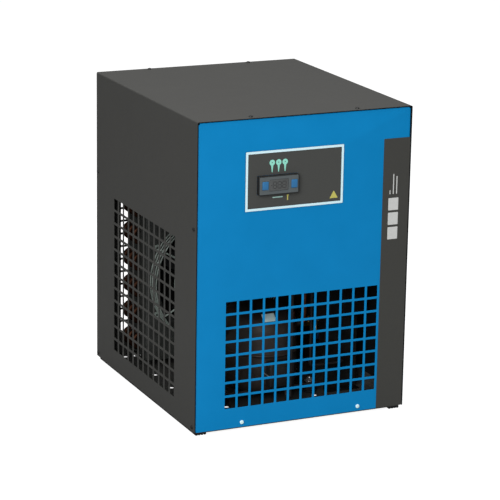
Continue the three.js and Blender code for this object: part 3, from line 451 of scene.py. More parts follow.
def foam_skin(name, color):
    recipe = Recipe(name, color, 0.92, specular=0.2)
    recipe.mottle(recipe.noise(6, 3), 0.2)
    cells = recipe.cells(1.6).outputs["Distance"]
    return recipe.relief(cells, 0.25).relief(recipe.noise(18), 0.6).material


def glass_panel(name, color):
    recipe = Recipe(name, color, 0.12, specular=0.6)
    recipe.mottle(recipe.noise(5), 0.05, 0.3)
    return recipe.relief(recipe.noise(25), 0.01).material


def print_ink(name, color):
    recipe = Recipe(name, color, 0.5, specular=0.25)
    recipe.mottle(recipe.noise(2, 3), 0.04, 0.1)
    return recipe.relief(recipe.noise(0.3), 0.004).material


GREY = powder_coat("grey_powder_coat", (65, 65, 63))
# Not a primer but painted shade: near-black paint for the shaded inside of the cover, and painted shadow seams along
# the cover's and the control frame's cut edges.
PAINTED_SHADE = powder_coat("painted_shade_dark", (14, 18, 22), 0.7)
BLUE = powder_coat("blue_powder_coat", (0, 130, 193), 0.5)
STRIP = print_ink("dark_film", (66, 66, 63))
FILM = print_ink("panel_film", (72, 73, 71))
WHITE = print_ink("white_film", (218, 247, 255))
TEAL = print_ink("teal_ink", (150, 226, 206))
DIM = print_ink("dim_teal_ink", (160, 196, 188))
YELLOW = print_ink("yellow_ink", (196, 190, 100))
PALE = print_ink("pale_grey_ink", (206, 207, 205))
CASE = plastic("black_moulding", (26, 27, 28))
FACE = plastic("controller_face", (88, 95, 97), 0.4)
KEYS = plastic("blue_keys", (50, 112, 162), 0.35, 0.01)
DISPLAY = glass_panel("display_window", (84, 86, 86))
SEGMENTS = print_ink("unlit_segments", (36, 38, 38))
GREEN = plastic("green_moulding", (30, 128, 66), 0.3, 0.01)
ENAMEL = enamel("black_enamel", (46, 40, 37), 0.5)
ZINC = zinc_steel("zinc_steel")
BRIGHT = zinc_steel("bright_zinc", (206, 210, 212), 0.28)
BOLT = enamel("white_zinc", (224, 250, 250), 0.4)
SHROUD = enamel("grey_paint", (46, 48, 46), 0.55)
WIRE = enamel("wire_coating", (128, 138, 132), 0.4)
COPPER = drawn_metal("copper", (104, 62, 42), 0.5, (58, 36, 28))
BRASS = drawn_metal("brass", (204, 172, 98), 0.28, (132, 104, 56))
DULL_COPPER = drawn_metal("dull_copper", (66, 42, 31), 0.6, (40, 28, 23))
FINS = drawn_metal("aluminium_fins", (78, 79, 78), 0.5, (56, 57, 56), (1, 1, 0.1))
BLACK_FIXING = enamel("black_fixing", (7, 7, 7), 0.5)
RUBBER = rubber_skin("black_rubber", (22, 22, 22))
CORD = rubber_skin("cord_jacket", (30, 30, 31), 0.6)
FOAM = foam_skin("black_foam", (15, 15, 16))
HOSE = plastic("blue_hose", (52, 104, 168), 0.3, 0.01)
LEVER = plastic("black_grip", (20, 20, 21), 0.5, 0.03)


# ---------------------------------------------------------------- cabinet

def grille(kind, place_a, place_b):
    """Square holes of a grille, as loops in a flat pattern."""
    along, up, columns, rows = GRILLES[kind]
    loops = []
    for column in range(columns):
        for row in range(rows):
            a = place_a(along + HOLE / 2 + column * PITCH)
            b = place_b(up + HOLE / 2 + row * PITCH)
            loops.append(rectangle(a, b, HOLE, HOLE))
    return loops


def screws_of(hand):
    return [name for name in PLACES if name.startswith(f"screw_{hand}_")]


def wrap_cover():
    """The cover: one sheet folded over both sides. In its flat pattern a is the girth and b is +Y."""
    half, top, bottom = COVER_HIGH.x, COVER_HIGH.z, COVER_LOW.z

    def girth(z):
        return half - FOLD + FOLD_ARC + top - FOLD - z

    end = girth(bottom)
    y0, y1 = COVER_LOW.y, COVER_HIGH.y
    outline = [(-end, y0), (end, y0), (end, y1), (-end, y1)]
    along, up, columns, rows = GRILLES["side"]
    holes = []
    for column in range(columns):
        for row in range(rows):
            z = up + HOLE / 2 + row * PITCH
            holes.append(rectangle(-girth(z), FRONT + along + HOLE / 2 + column * PITCH, HOLE, HOLE))
    for name in screws_of("top"):
        holes.append(circle(middle(name).x, middle(name).y, SCREW_HOLE, 16))
    for hand, sign in (("left", -1), ("right", 1)):
        for name in screws_of(hand):
            holes.append(circle(sign * girth(middle(name).z), middle(name).y, SCREW_HOLE, 16))
    bm = flat_sheet(outline, holes)
    folds = [(0, -1, -half), (0, 1, half)]
    fold_sheet(bm, folds, lambda a, b, depth: Vector((a, b, top - depth)))
    # Faces along the front and back edges are marked so that their cut edges take the near-black painted-shade paint: a
    # painted shadow seam at the front and back. The inside takes the same paint as painted shade.
    for edge in bm.edges:
        if edge.is_boundary and all(min(abs(vert.co.y - y0), abs(vert.co.y - y1)) < 0.01 for vert in edge.verts):
            edge.link_faces[0].material_index = 1
    sheet = [GREY, GREY, PAINTED_SHADE, PAINTED_SHADE]
    thick = SHEET["cover"]
    piece("cover_sheet", bm, sheet, "wrap_cover", edge=0.2, thickness=thick, rim=1, back=2)


def panel(name, node, material, holes, turn):
    """A front or back panel, folded at its sides and top. turn is 1 at the front and -1 at the back."""
    first, last = PLACES[node]
    depth = last.y - first.y
    outline = flanged_outline((first.x, last.x), (first.z, last.z), (depth, depth, 0, depth))
    bm = flat_sheet(outline, holes)
    face = first.y if turn > 0 else last.y
    folds = [(0, -1, first.x), (0, 1, last.x), (1, 1, last.z)]
    fold_sheet(bm, folds, lambda a, b, deep: Vector((turn * a, face + turn * deep, b)))
    return piece(name, bm, material, node, edge=0.25, thickness=SHEET["panel"])


def front_panel():
    window = middle("controller_housing")
    holes = grille("front", lambda u: LEFT + u, lambda z: z)
    holes.append(rectangle(window.x, window.z, CASE_SIZE["width"] + 0.8, CASE_SIZE["height"] + 0.8))
    for hand in ("left", "right"):
        at = middle(f"screw_front_{hand}")
        holes.append(circle(at.x, at.z, SCREW_HOLE, 16))
    panel("front_panel_sheet", "front_panel", BLUE, holes, 1)


def back_panel():
    holes = grille("back", lambda u: -(LEFT + u), lambda z: z)
    for node, radius in (
        ("air_inlet_pipe", 17.5), ("air_outlet_pipe", 17.5), ("drain_outlet", 6.8), ("cord_gland", 8.5)
    ):
        at = middle(node)
        holes.append(circle(-at.x, at.z, radius, 32))
    switch = middle("switch_body")
    holes.append(rectangle(-switch.x, switch.z, 22, 30))
    panel("back_panel_sheet", "back_panel", GREY, holes, -1)


PAN_SHOWS = 1.2  # how far the pan comes out under the panels


def base_pan():
    """The tray under everything: rims on all sides, round holes in its floor."""
    first, last = PLACES["base_pan"]
    rim = 21.8
    holes = []
    for u, v in [(107, 109.3), (277, 109.3), (58, 240.7), (58, 318), (47, 436.5), (64.5, 436.5), (82, 436.5)]:
        holes.append(circle(LEFT + u, -(FRONT + v), 4.6, 20))
    outline = flanged_outline((first.x, last.x), (-last.y, -first.y), (rim,) * 4, 15.5)
    bm = flat_sheet(outline, holes)
    folds = [(0, -1, first.x), (0, 1, last.x), (1, -1, -last.y), (1, 1, -first.y)]
    fold_sheet(bm, folds, lambda a, b, depth: Vector((a, -b, first.z - PAN_SHOWS + depth)))
    piece("base_pan_sheet", bm, GREY, "base_pan", edge=0.25, thickness=SHEET["panel"])
    for hand in ("left", "right"):
        first, last = PLACES[f"foot_strip_{hand}"]
        bm = bmesh.new()
        x0, x1, z0, z1 = first.x, last.x, first.z, last.z
        grooves = [(x0, z1), (x0, z0 + 1), (x0 + 1, z0)]
        for rib in range(3):
            at = x0 + 4.2 + rib * 5
            grooves += [(at, z0), (at + 0.5, z0 + 1.2), (at + 1.6, z0 + 1.2), (at + 2.1, z0)]
        grooves += [(x1 - 1, z0), (x1, z0 + 1), (x1, z1)]
        add_prism(bm, "y", grooves, first.y, last.y)
        piece(f"foot_rubber_{hand}", bm, RUBBER, f"foot_strip_{hand}", edge=0.3)


def screw_mesh(head, rise, length):
    """A pan-head screw with a cross recess, pointing along -Z with its head's underside at the origin."""
    bm = bmesh.new()
    profile = [(0, -length), (0.9, -length), (1.7, -length + 1.5)]
    turns = 5
    for turn in range(turns):
        at = -length + 1.5 + turn
        profile += [(1.7, at), (2.0, at + 0.35), (1.7, at + 0.7)]
    profile += [(1.7, 0), (head, 0), (head, rise * 0.35), (head * 0.88, rise * 0.75), (head * 0.55, rise), (0, rise)]
    add_turned(bm, "z", (0, 0, 0), list(dict.fromkeys(profile)), 28)
    bmesh.ops.recalc_face_normals(bm, faces=bm.faces[:])
    body = bpy.data.meshes.new("screw_body")
    bm.to_mesh(body)
    bm.free()
    bm = bmesh.new()
    for long, short in ((1, 0), (0, 1)):
        reach, width = head * 0.52, head * 0.13
        half = Vector((reach if long else width, reach if short else width, 0))
        verts = add_box(bm, -half + Vector((0, 0, rise * 0.35)), half + Vector((0, 0, rise + 1)))
        for vert in verts:
            if vert.co.z < rise:
                vert.co.xy *= 0.75
    cutter = bpy.data.meshes.new("screw_recess")
    bm.to_mesh(cutter)
    bm.free()
    holder, tool = (bpy.data.objects.new(mesh.name, mesh) for mesh in (body, cutter))
    for made in (holder, tool):
        bpy.context.scene.collection.objects.link(made)
    cut = holder.modifiers.new("recess", "BOOLEAN")
    cut.object, cut.operation, cut.solver, cut.use_self = tool, "DIFFERENCE", "EXACT", True
    graph = bpy.context.evaluated_depsgraph_get()
    result = bpy.data.meshes.new_from_object(holder.evaluated_get(graph))
    for made in (holder, tool):
        bpy.data.objects.remove(made)
    return result


def screws():
    """Every screw stands where the CAD has it, turned a little differently."""
    pattern = screw_mesh(3.5, 2.2, 6.8)
    facing = {"top": ((0, 0, 1), "z", 1), "left": ((-1, 0, 0), "x", -1), "right": ((1, 0, 0), "x", 1)}
    facing["front"] = ((0, -1, 0), "y", -1)
    for turn, name in enumerate(sorted(n for n in PLACES if n.startswith("screw_"))):
        normal, axis, sign = facing[name.split("_")[1]]
        seat = middle(name)
        index = "xyz".index(axis)
        outer = (high(name) if sign > 0 else low(name))[index]
        seat[index] = outer - sign * 2.2
        rotation = Vector((0, 0, 1)).rotation_difference(Vector(normal)).to_matrix().to_4x4()
        spin = Matrix.Rotation(turn * 1.1, 4, "Z")
        bm = bmesh.new()
        bm.from_mesh(pattern)
        transformed(bm, bm.verts, Matrix.Translation(seat) @ rotation @ spin)
        bright = "front" == name.split("_")[1]
        material, slot = (BOLT, "zinc") if bright else (BLACK_FIXING, "black_paint")
        piece(name + "_head", bm, material, name, crease=30)


# ---------------------------------------------------------------- control panel

def film(name, outline, holes, y_span, material, stands_for=(), rim=0):
    """A flat film or plate that faces the front."""
    bm = flat_sheet(outline, holes)
    for vert in bm.verts:
        vert.co = Vector((vert.co.x, y_span[0], vert.co.y))
    return piece(name, bm, material, stands_for, edge=0.12, thickness=y_span[1] - y_span[0], rim=rim)


def control_panel():
    frame_low, frame_high = PLACES["control_frame"]
    plate_low, plate_high = PLACES["control_plate"]
    centre = middle("control_frame")
    window = middle("controller_housing")
    size = frame_high - frame_low
    inner = plate_high - plate_low
    # The white frame's cut edges take the near-black painted-shade paint: a painted dark outline of shade round the
    # frame.
    film(
        "control_frame_film", rectangle(centre.x, centre.z, size.x, size.z, 1.2),
        [rectangle(centre.x, centre.z, inner.x + 0.6, inner.z + 0.6, 0.6)],
        (frame_low.y, frame_high.y), [WHITE, PAINTED_SHADE], "control_frame", rim=1,
    )
    film(
        "control_plate_film", rectangle(centre.x, centre.z, inner.x, inner.z, 0.6),
        [rectangle(window.x, window.z, BEZEL["width"] + 0.6, BEZEL["height"] + 0.6, 0.8)],
        (plate_low.y, plate_high.y), FILM, "control_plate",
    )
    marks(plate_low.y, plate_high, window)
    controller(window)
    strip_low, strip_high = PLACES["trim_strip"]
    strip, extent = middle("trim_strip"), strip_high - strip_low
    film(
        "trim_strip_film", rectangle(strip.x, strip.z, extent.x, extent.z, 1.0), [],
        (strip_low.y, strip_high.y), STRIP, "trim_strip",
    )
    strip_marks(strip.x, (strip_low.y - 0.12, strip_low.y - 0.02))


def strip_marks(middle_x, span):
    """Plain printed bars where a maker would put its name: three broad ones and three thin ones."""
    for row in range(3):
        film(f"broad_mark_{row + 1}", rectangle(middle_x - 4, 320.5 + 25.5 * row, 19, 21.5, 0.8), [], span, PALE)
    for column, top in enumerate((396, 424, 420)):
        x = middle_x - 11 + 6.3 * column
        film(f"thin_mark_{column + 1}", rectangle(x, (389 + top) / 2, 1.8, top - 389, 0.6), [], span, PALE)


def marks(face, corner, window):
    """Plain printed marks on the plate: three pins, a dash, a small gauge and a blank triangle."""
    span = (face - 0.12, face - 0.02)
    for number in range(3):
        x, z = window.x - 9.8 + number * 11.8, 462.3
        tail = math.radians(24)
        outline = []
        for step in range(21):
            angle = -math.pi / 2 + tail + (2 * math.pi - 2 * tail) * step / 20
            outline.append((x + 5 * math.cos(angle), z + 5 * math.sin(angle)))
        outline += [(x - 0.6, z - 16.2), (x + 0.6, z - 16.2)]
        film(f"pin_mark_{number + 1}", outline, [circle(x, z, 0.9, 12)], span, TEAL)
    film("dash_mark", rectangle(window.x + 1.2, 403, 19, 2, 0.8), [], span, DIM)
    x, z = window.x + 19.4, 401
    gauge = [(x - 0.8, z - 4.6), (x + 1.1, z - 4.6), (x + 1.1, z + 2.2), (x + 3, z + 4.6), (x - 2.4, z + 4.6)]
    film("gauge_mark", gauge + [(x - 0.8, z + 2.2)], [], span, YELLOW)
    x, z = corner.x - 12.5, 392.2
    film("triangle_mark", [(x - 7.6, z), (x + 7.6, z), (x + 0.5, z + 12.4), (x - 0.5, z + 12.4)], [], span, YELLOW)


def controller(window):
    """The controller: a bezel that stands on the panel with a display and two keys, and its case behind."""
    face, back = low("display_lens").y + 0.2, high("controller_housing").y
    panel_face = low("front_panel").y
    bm = bmesh.new()
    inside = [middle("key_left").x, middle("key_right").x]
    add_box(
        bm, (window.x - CASE_SIZE["width"] / 2, panel_face - 0.4, window.z - CASE_SIZE["height"] / 2),
        (window.x + CASE_SIZE["width"] / 2, back, window.z + CASE_SIZE["height"] / 2), 1.2,
    )
    sheet = flat_sheet(
        rectangle(window.x, window.z, BEZEL["width"], BEZEL["height"], 1.5),
        [rectangle(window.x, window.z, BEZEL["width"] - 3, BEZEL["height"] - 3, 1)],
    )
    add_plate(bm, sheet, lambda a, b, c: (a, c, b), face - 0.05, panel_face - 0.3)
    sheet.free()
    for side in (-1, 1):
        at = window.x + side * (CASE_SIZE["width"] / 2 + 1.2)
        add_box(bm, (at - 1.2, panel_face + 2, window.z - 8), (at + 1.2, panel_face + 32, window.z + 8), 0.8)
    piece("controller_case", bm, CASE, "controller_housing", edge=0.5)
    holes = [rectangle(window.x, window.z, 35, 20, 1.2)]
    holes += [rectangle(x, window.z, 11.9, 14.9, 1.6) for x in inside]
    outline = rectangle(window.x, window.z, BEZEL["width"] - 2.4, BEZEL["height"] - 2.4, 1.2)
    film("controller_face", outline, holes, (face, face + 1.4), FACE)
    bm = bmesh.new()
    add_box(bm, (window.x - 17.2, face + 0.3, window.z - 9.7), (window.x + 17.2, face + 1.6, window.z + 9.7), 0.4)
    piece("display_glass", bm, DISPLAY, "display_lens")
    digits(face + 0.25, window)
    for hand in ("left", "right"):
        first, last = PLACES[f"key_{hand}"]
        bm = bmesh.new()
        add_box(bm, first, last, 1.1, 4)
        for vert in bm.verts:
            if vert.co.y < first.y + 0.2:
                across = (vert.co.x - middle(f"key_{hand}").x) / 5.5
                vert.co.y += 0.35 * (1 - across * across)
        piece(f"key_{hand}_cap", bm, KEYS, f"key_{hand}", body=f"{hand}_key")


def digits(face, window):
    """Three unlit seven-segment figures with a minus bar."""
    bm = bmesh.new()
    tall, wide, bar = 11.0, 6.2, 0.9
    for number in range(3):
        x, z = window.x - 7.5 + number * 8.6, window.z
        for level in (-1, 0, 1):
            at = z + level * tall / 2
            add_box(bm, (x - wide / 2 + 0.8, face, at - bar / 2), (x + wide / 2 - 0.8, face + 0.06, at + bar / 2))
        for side in (-1, 1):
            for level in (-1, 1):
                at, centre = x + side * wide / 2, z + level * tall / 4
                add_box(bm, (at - bar / 2, face, centre - 2.1), (at + bar / 2, face + 0.06, centre + 2.1))
    add_box(bm, (window.x - 15, face, window.z - bar / 2), (window.x - 12, face + 0.06, window.z + bar / 2))
    piece("display_segments", bm, SEGMENTS)


# ---------------------------------------------------------------- condenser

def coil_rows():
    """Heights of the tubes and depths of the rows."""
    centre = middle("condenser_coil")
    lowest = centre.z - COIL["pitch"] * (COIL["per_row"] - 1) / 2
    heights = [lowest + COIL["pitch"] * k for k in range(COIL["per_row"])]
    depths = [centre.y + COIL["row_pitch"] * (row - 1) for row in range(COIL["rows"])]
    return heights, depths


def condenser():
    heights, depths = coil_rows()
    first, last = PLACES["condenser_core"]
    coil_low, coil_high = PLACES["condenser_coil"]
    bend = COIL["pitch"] / 2
    left, right = coil_low.x + COIL["tube"], coil_high.x - COIL["tube"]
    corners = []
    for row, y in enumerate(depths):
        for k in range(COIL["per_row"]):
            z = heights[k if row % 2 else -1 - k]
            ends = [(left, y, z), (right, y, z)]
            corners += ends if k % 2 else ends[::-1]
    corners[0] = (last.x + COIL["tail"], corners[0][1], corners[0][2])
    corners[-1] = (last.x + COIL["tail"], corners[-1][1], corners[-1][2])
    bm = bmesh.new()
    add_tube(bm, rounded(corners, COIL["row_pitch"] / 2 - 0.1, 8), COIL["tube"], 12)
    piece("condenser_tubes", bm, DULL_COPPER, "condenser_coil")

    bm = bmesh.new()
    z0, z1 = heights[0] - bend - 0.4, heights[-1] + bend + 0.4
    spacing, sheet, waves = 2.1, 0.16, 12
    x = first.x + 3
    while x < last.x - 2:
        zigzag = []
        for step in range(waves + 1):
            y = first.y + (last.y - first.y) * step / waves
            zigzag.append((x + (0.45 if step % 2 else -0.45), y))
        back = [(a + sheet, b) for a, b in reversed(zigzag)]
        add_prism(bm, "z", zigzag + back, z0, z1)
        x += spacing
    piece("condenser_fins", bm, FINS, "condenser_core", crease=10)

    bm = bmesh.new()
    for x, out in ((first.x, -1), (last.x, 1)):
        holes = [circle(y, z, COIL["tube"] + 0.9, 16) for y in depths for z in heights]
        plate = flat_sheet(rectangle(middle("condenser_core").y, (z0 + z1) / 2, last.y - first.y, z1 - z0, 1), holes)
        add_plate(bm, plate, lambda a, b, c: (x + c, a, b), -0.6, 0.6)
        plate.free()
        inner = x - out * 8
        for y in (first.y, last.y):
            add_box(bm, (min(x, inner), y - 0.6, z0), (max(x, inner), y + 0.6, z1))
        for y in (first.y + 14, first.y + 52):
            add_box(bm, (x - 0.6, y, first.z), (x + 0.6, y + 10, z0 + 1))
            add_box(bm, (min(x, x - out * 4), y, first.z), (max(x, x - out * 4), y + 10, first.z + 1.2))
        for y in depths:
            for z in heights:
                collar = [(COIL["tube"] + 0.2, 0.4), (COIL["tube"] + 1.5, 0.4), (COIL["tube"] + 0.9, 2.2)]
                collar = [(r, x + out * h) for r, h in collar + [(COIL["tube"] + 0.2, 2.2)]]
                add_turned(bm, "x", (0, y, z), collar, 12)
    piece("condenser_end_plates", bm, SHROUD)


def add_plate(bm, sheet, place, start, end):
    """Adds a flat pattern as a plate between two depths, to a mesh that holds more."""
    copies = {}
    for depth in (start, end):
        for vert in sheet.verts:
            copies[vert.index, depth] = bm.verts.new(place(vert.co.x, vert.co.y, depth))
    for face in sheet.faces:
        for depth in (start, end):
            bm.faces.new([copies[vert.index, depth] for vert in face.verts])
    for edge in sheet.edges:
        if len(edge.link_faces) == 1:
            one, two = (vert.index for vert in edge.verts)
            bm.faces.new((copies[one, start], copies[two, start], copies[two, end], copies[one, end]))


# ---------------------------------------------------------------- fan

def fan():
    shroud_low, shroud_high = PLACES["fan_shroud"]
    motor_low, motor_high = PLACES["fan_motor"]
    centre = middle("fan_motor")
    bm = flat_sheet(
        flanged_outline((shroud_low.x, shroud_high.x), (shroud_low.z, shroud_high.z), (18,) * 4),
        [circle(centre.x, centre.z, FAN_OPENING + 6, 64)],
    )
    folds = [(0, -1, shroud_low.x), (0, 1, shroud_high.x), (1, -1, shroud_low.z), (1, 1, shroud_high.z)]
    fold_sheet(bm, folds, lambda a, b, depth: Vector((a, shroud_low.y + depth, b)))
    piece("fan_shroud_sheet", bm, SHROUD, "fan_shroud", edge=0.25, thickness=1.2)

    bm = bmesh.new()
    outer, inner = FAN_OPENING + 1.2, FAN_OPENING
    lip = [(outer + 6, 0.2), (outer + 6, 1.2), (outer, 7), (outer, 14), (inner, 14), (inner, 6.6), (inner + 3, 1.4)]
    add_turned(bm, "y", (centre.x, shroud_low.y, centre.z), lip, 72)
    piece("fan_shroud_lip", bm, SHROUD)
    fan_guard(centre, shroud_low.y)
    fan_motor(centre, motor_low.y, motor_high.y)
    fan_rotor(centre, shroud_low.y + 4)


def fan_guard(centre, face):
    """A basket of wire: rings on bent spokes, deep enough to clear the rotor, with a collar for the motor."""
    wire, bar, depth = 1.25, 1.7, 27.0
    outer = high("fan_guard").x - centre.x - wire
    base = face - 0.4 - wire
    front = base - depth
    bm = bmesh.new()
    rings = [(50 + 12 * ring, front) for ring in range(4)] + [(outer, front + depth * step / 3) for step in range(4)]
    for radius, y in rings:
        path = [Vector((centre.x + a, y, centre.z + b)) for a, b in circle(0, 0, radius, 72)]
        add_tube(bm, path, wire, 8, closed=True)
    for spoke in range(6):
        angle = math.pi / 3 * (spoke + 0.5)
        out = Vector((math.cos(angle), 0, math.sin(angle)))
        rim, collar = outer - wire - bar + 0.5, 41.6
        corners = [centre + out * radius for radius in (rim, rim, collar, collar)]
        for corner, y in zip(corners, (base + wire, front + wire + bar, front + wire + bar, front - 22)):
            corner.y = y
        add_tube(bm, rounded(corners, 5, 4), bar, 8)
        ear = centre + out * (outer + 4)
        add_turned(bm, "y", (ear.x, face, ear.z), [(2.2, -2.0), (6, -2.0), (6, -0.4), (2.2, -0.4)], 20)
    for back in (-4, 14):
        path = [Vector((centre.x + a, front - back, centre.z + b)) for a, b in circle(0, 0, 39.6, 48)]
        add_tube(bm, path, 1.5, 8, closed=True)
    piece("fan_guard_wires", bm, WIRE, "fan_guard")


def fan_motor(centre, start, end):
    bm = bmesh.new()
    radius = 38.0
    profile = [(0, start), (radius - 13, start), (radius - 9, start + 1.5), (radius - 2.5, start + 7)]
    profile += [(radius, start + 10), (radius, start + 26), (radius - 1, start + 26.6), (radius - 1, start + 29)]
    profile += [(radius, start + 29.6), (radius, end - 14), (radius - 3, end - 8), (14, end - 4), (14, end)]
    profile += [(9, end), (9, end - 2), (4.6, end - 2), (4.6, end - 28), (0, end - 28)]
    add_turned(bm, "y", (centre.x, 0, centre.z), profile, 48)
    for slot in range(10):
        verts = add_box(bm, (-3, start + 2.2, 16), (3, start + 4.6, 25), 1)
        turn = Matrix.Rotation(2 * math.pi * slot / 10, 4, "Y")
        transformed(bm, verts, Matrix.Translation((centre.x, 0, centre.z)) @ turn)
    add_box(bm, (centre.x - 13, start + 6, centre.z + 34), (centre.x + 13, start + 26, centre.z + 49), 2.5)
    piece("fan_motor_case", bm, ENAMEL, "fan_motor", edge=0.5)


def fan_rotor(centre, mid_y):
    """Five twisted blades on a hub, and the shaft."""
    start = low("fan_rotor").y
    bm = bmesh.new()
    for blade in range(5):
        add_blade(bm, centre, mid_y - 6, 2 * math.pi * blade / 5)
    hub = [(0, -13), (24, -13), (28, -11), (30, -7), (30, 12), (27.5, 12), (27.5, -6), (10, -9), (9, 10), (0, 10)]
    add_turned(bm, "y", (centre.x, mid_y, centre.z), hub, 40)
    piece("fan_blades", bm, CASE, "fan_rotor", body="fan", crease=45)
    bm = bmesh.new()
    add_rod(bm, "y", (centre.x, 0, centre.z), 4, start, mid_y + 12, 24, 0.6)
    piece("fan_shaft", bm, BRIGHT, body="fan")


def add_blade(bm, centre, y, turn, spans=10, chords=8):
    """A cambered blade that is pitched more at its root than at its tip."""
    root, tip = 27.0, 97.0
    grid = {}
    for i in range(spans + 1):
        share = i / spans
        radius = root + (tip - root) * share
        pitch = math.radians(38 - 15 * share)
        chord = 42 + 22 * math.sin(math.pi * (0.15 + 0.75 * share))
        for k in range(chords + 1):
            across = k / chords - 0.5
            for side in (-1, 1):
                bow = 5 * (1 - 4 * across ** 2) + side * 0.95 * math.sqrt(max(0.12, 1 - 4 * across ** 2))
                along = across * chord * math.cos(pitch) - bow * math.sin(pitch)
                deep = across * chord * math.sin(pitch) + bow * math.cos(pitch)
                angle = turn + 0.12 * share + 0.92 * along / radius
                place = (centre.x + radius * math.cos(angle), y + deep, centre.z + radius * math.sin(angle))
                grid[side, i, k] = bm.verts.new(place)
    for side in (-1, 1):
        for i in range(spans):
            for k in range(chords):
                corners = [(i, k), (i + 1, k), (i + 1, k + 1), (i, k + 1)]
                bm.faces.new([grid[(side, *corner)] for corner in corners])
    rim = [(i, 0) for i in range(spans + 1)] + [(spans, k) for k in range(1, chords + 1)]
    rim += [(i, chords) for i in range(spans - 1, -1, -1)] + [(0, k) for k in range(chords - 1, 0, -1)]
    for here, there in zip(rim, rim[1:] + rim[:1]):
        bm.faces.new((grid[(-1, *here)], grid[(-1, *there)], grid[(1, *there)], grid[(1, *here)]))


# ---------------------------------------------------------------- compressor

def compressor():
    base, top = PLACES["compressor_shell"]
    centre = middle("compressor_shell")
    radius, stretch = 66.0, 1.18
    bm = bmesh.new()
    profile = [(0, base.z + 1.2), (40, base.z + 1.2), (52, base.z + 3.5), (60, base.z + 9), (64.5, base.z + 17)]
    profile += [(radius, base.z + 27), (radius, 91), (radius + 1.6, 92.4), (radius + 2.8, 94.4), (radius + 1.6, 96.6)]
    profile += [(radius - 0.6, 98), (radius - 1, 132)]
    for step in range(1, 12):
        angle = math.pi / 2 * step / 11
        profile.append(((radius - 1) * math.cos(angle) ** 0.62, 132 + (top.z - 134) * math.sin(angle)))
    profile[-1] = (0, top.z - 2)
    verts = add_turned(bm, "z", (0, 0, 0), profile, 64)
    transformed(bm, verts, Matrix.Translation((centre.x, centre.y, 0)) @ Matrix.Diagonal((1, stretch, 1, 1)))
    for x_side, y, z, size in ((1, low("discharge_line").y + 4, 128, 6), (-1, middle("suction_line").y, 125, 7.4)):
        ends = sorted((centre.x + x_side * (radius - 8), centre.x + x_side * (radius + 9)))
        add_rod(bm, "x", (0, y, z), size, ends[0], ends[1], 24, 0.8)
    piece("compressor_can", bm, ENAMEL, "compressor_shell", edge=0.6)

    bm = bmesh.new()
    arms = [(-97, -47), (97, -47), (97, -23), (60, -16), (60, 16), (97, 23), (97, 47), (-97, 47)]
    arms += [(-97, 23), (-60, 16), (-60, -16), (-97, -23)]
    holes = [circle(dx * 85, dy * 35, 6.8, 20) for dx in (-1, 1) for dy in (-1, 1)]
    sheet = flat_sheet(arms, holes)
    add_plate(bm, sheet, lambda a, b, c: (centre.x + a, centre.y + b, c), base.z, base.z + 2.5)
    sheet.free()
    for dy in (-1, 1):
        y = centre.y + dy * 45.8
        add_box(bm, (centre.x - 92, y - 1.2, base.z + 1.5), (centre.x + 92, y + 1.2, base.z + 8), 0.5)
    piece("compressor_feet", bm, ENAMEL, edge=0.4)

    for name in [n for n in PLACES if n.startswith("compressor_grommet")]:
        at, floor = middle(name), low(name).z
        bm = bmesh.new()
        neck = [(4.2, 0), (12, 0), (12.2, 1.4), (10.6, 3), (12.2, 4.6), (10.6, 6.2), (12, 7.8), (11.4, 11.2)]
        neck += [(6.1, 11.4), (6.1, 14.4), (9.2, 14.6), (9.2, 16.4), (7.4, 18.4), (4.2, 18.4)]
        add_turned(bm, "z", (at.x, at.y, floor), neck, 32)
        piece(name + "_rubber", bm, RUBBER, name, edge=0.3)
    mount_studs()

    low_cover, high_cover = PLACES["terminal_cover"]
    bm = bmesh.new()
    add_box(bm, (low_cover.x, low_cover.y, low_cover.z), (high_cover.x, low_cover.y + 20, high_cover.z), 4, 5)
    add_box(bm, (low_cover.x + 10, low_cover.y - 1.2, low_cover.z + 8), (high_cover.x - 10, low_cover.y + 2, high_cover.z - 8), 1)
    add_rod(bm, "z", (middle("terminal_cover").x + 12, low_cover.y + 10, 0), 5, low_cover.z - 8, low_cover.z + 2, 20, 1)
    piece("terminal_cover_cap", bm, CASE, "terminal_cover")
    bm = bmesh.new()
    x0, x1, y0, z = low_cover.x - 1.4, high_cover.x + 1.4, low_cover.y - 1.4, middle("terminal_cover").z
    clip = [(x0, y0 + 26, z), (x0, y0, z), (x1, y0, z), (x1, y0 + 26, z)]
    add_tube(bm, rounded(clip, 5, 5), 1.1, 8)
    piece("terminal_clip", bm, BRIGHT)

    bm = bmesh.new()
    tag_z = 160.0
    verts = add_box(bm, (-12, -0.4, -8), (12, 0.4, 8), 0.2, 2)
    tilt = Matrix.Rotation(math.radians(-48), 4, "X")
    transformed(bm, verts, Matrix.Translation((centre.x - 9, centre.y - 61, tag_z)) @ tilt)
    piece("compressor_tag", bm, BOLT)
    bm = bmesh.new()
    stub = [(centre.x + 30, centre.y - 48, 140), (centre.x + 30, centre.y - 74, 152), (centre.x + 30, centre.y - 76, 172)]
    add_tube(bm, rounded(stub, 7, 5), 3.2, 12)
    piece("process_tube", bm, COPPER)


def mount_studs():
    """Studs, sleeves and nuts through the compressor's rubber mounts."""
    bm = bmesh.new()
    for name in [n for n in PLACES if n.startswith("compressor_grommet")]:
        at, floor = middle(name), low(name).z
        centre = (at.x, at.y, floor)
        add_rod(bm, "z", centre, 3.0, -0.4, 27, 20, 0.6)
        add_turned(bm, "z", centre, [(3.1, 18.5), (9, 18.5), (9, 20), (3.1, 20)], 28)
        add_turned(bm, "z", centre, [(3.1, 20.1), (5.6, 20.1), (6, 20.6), (6, 24.4), (5.6, 25), (3.1, 25)], 6)
    piece("mount_studs", bm, BRIGHT, edge=0.2)


# ---------------------------------------------------------------- heat exchanger and air pipes

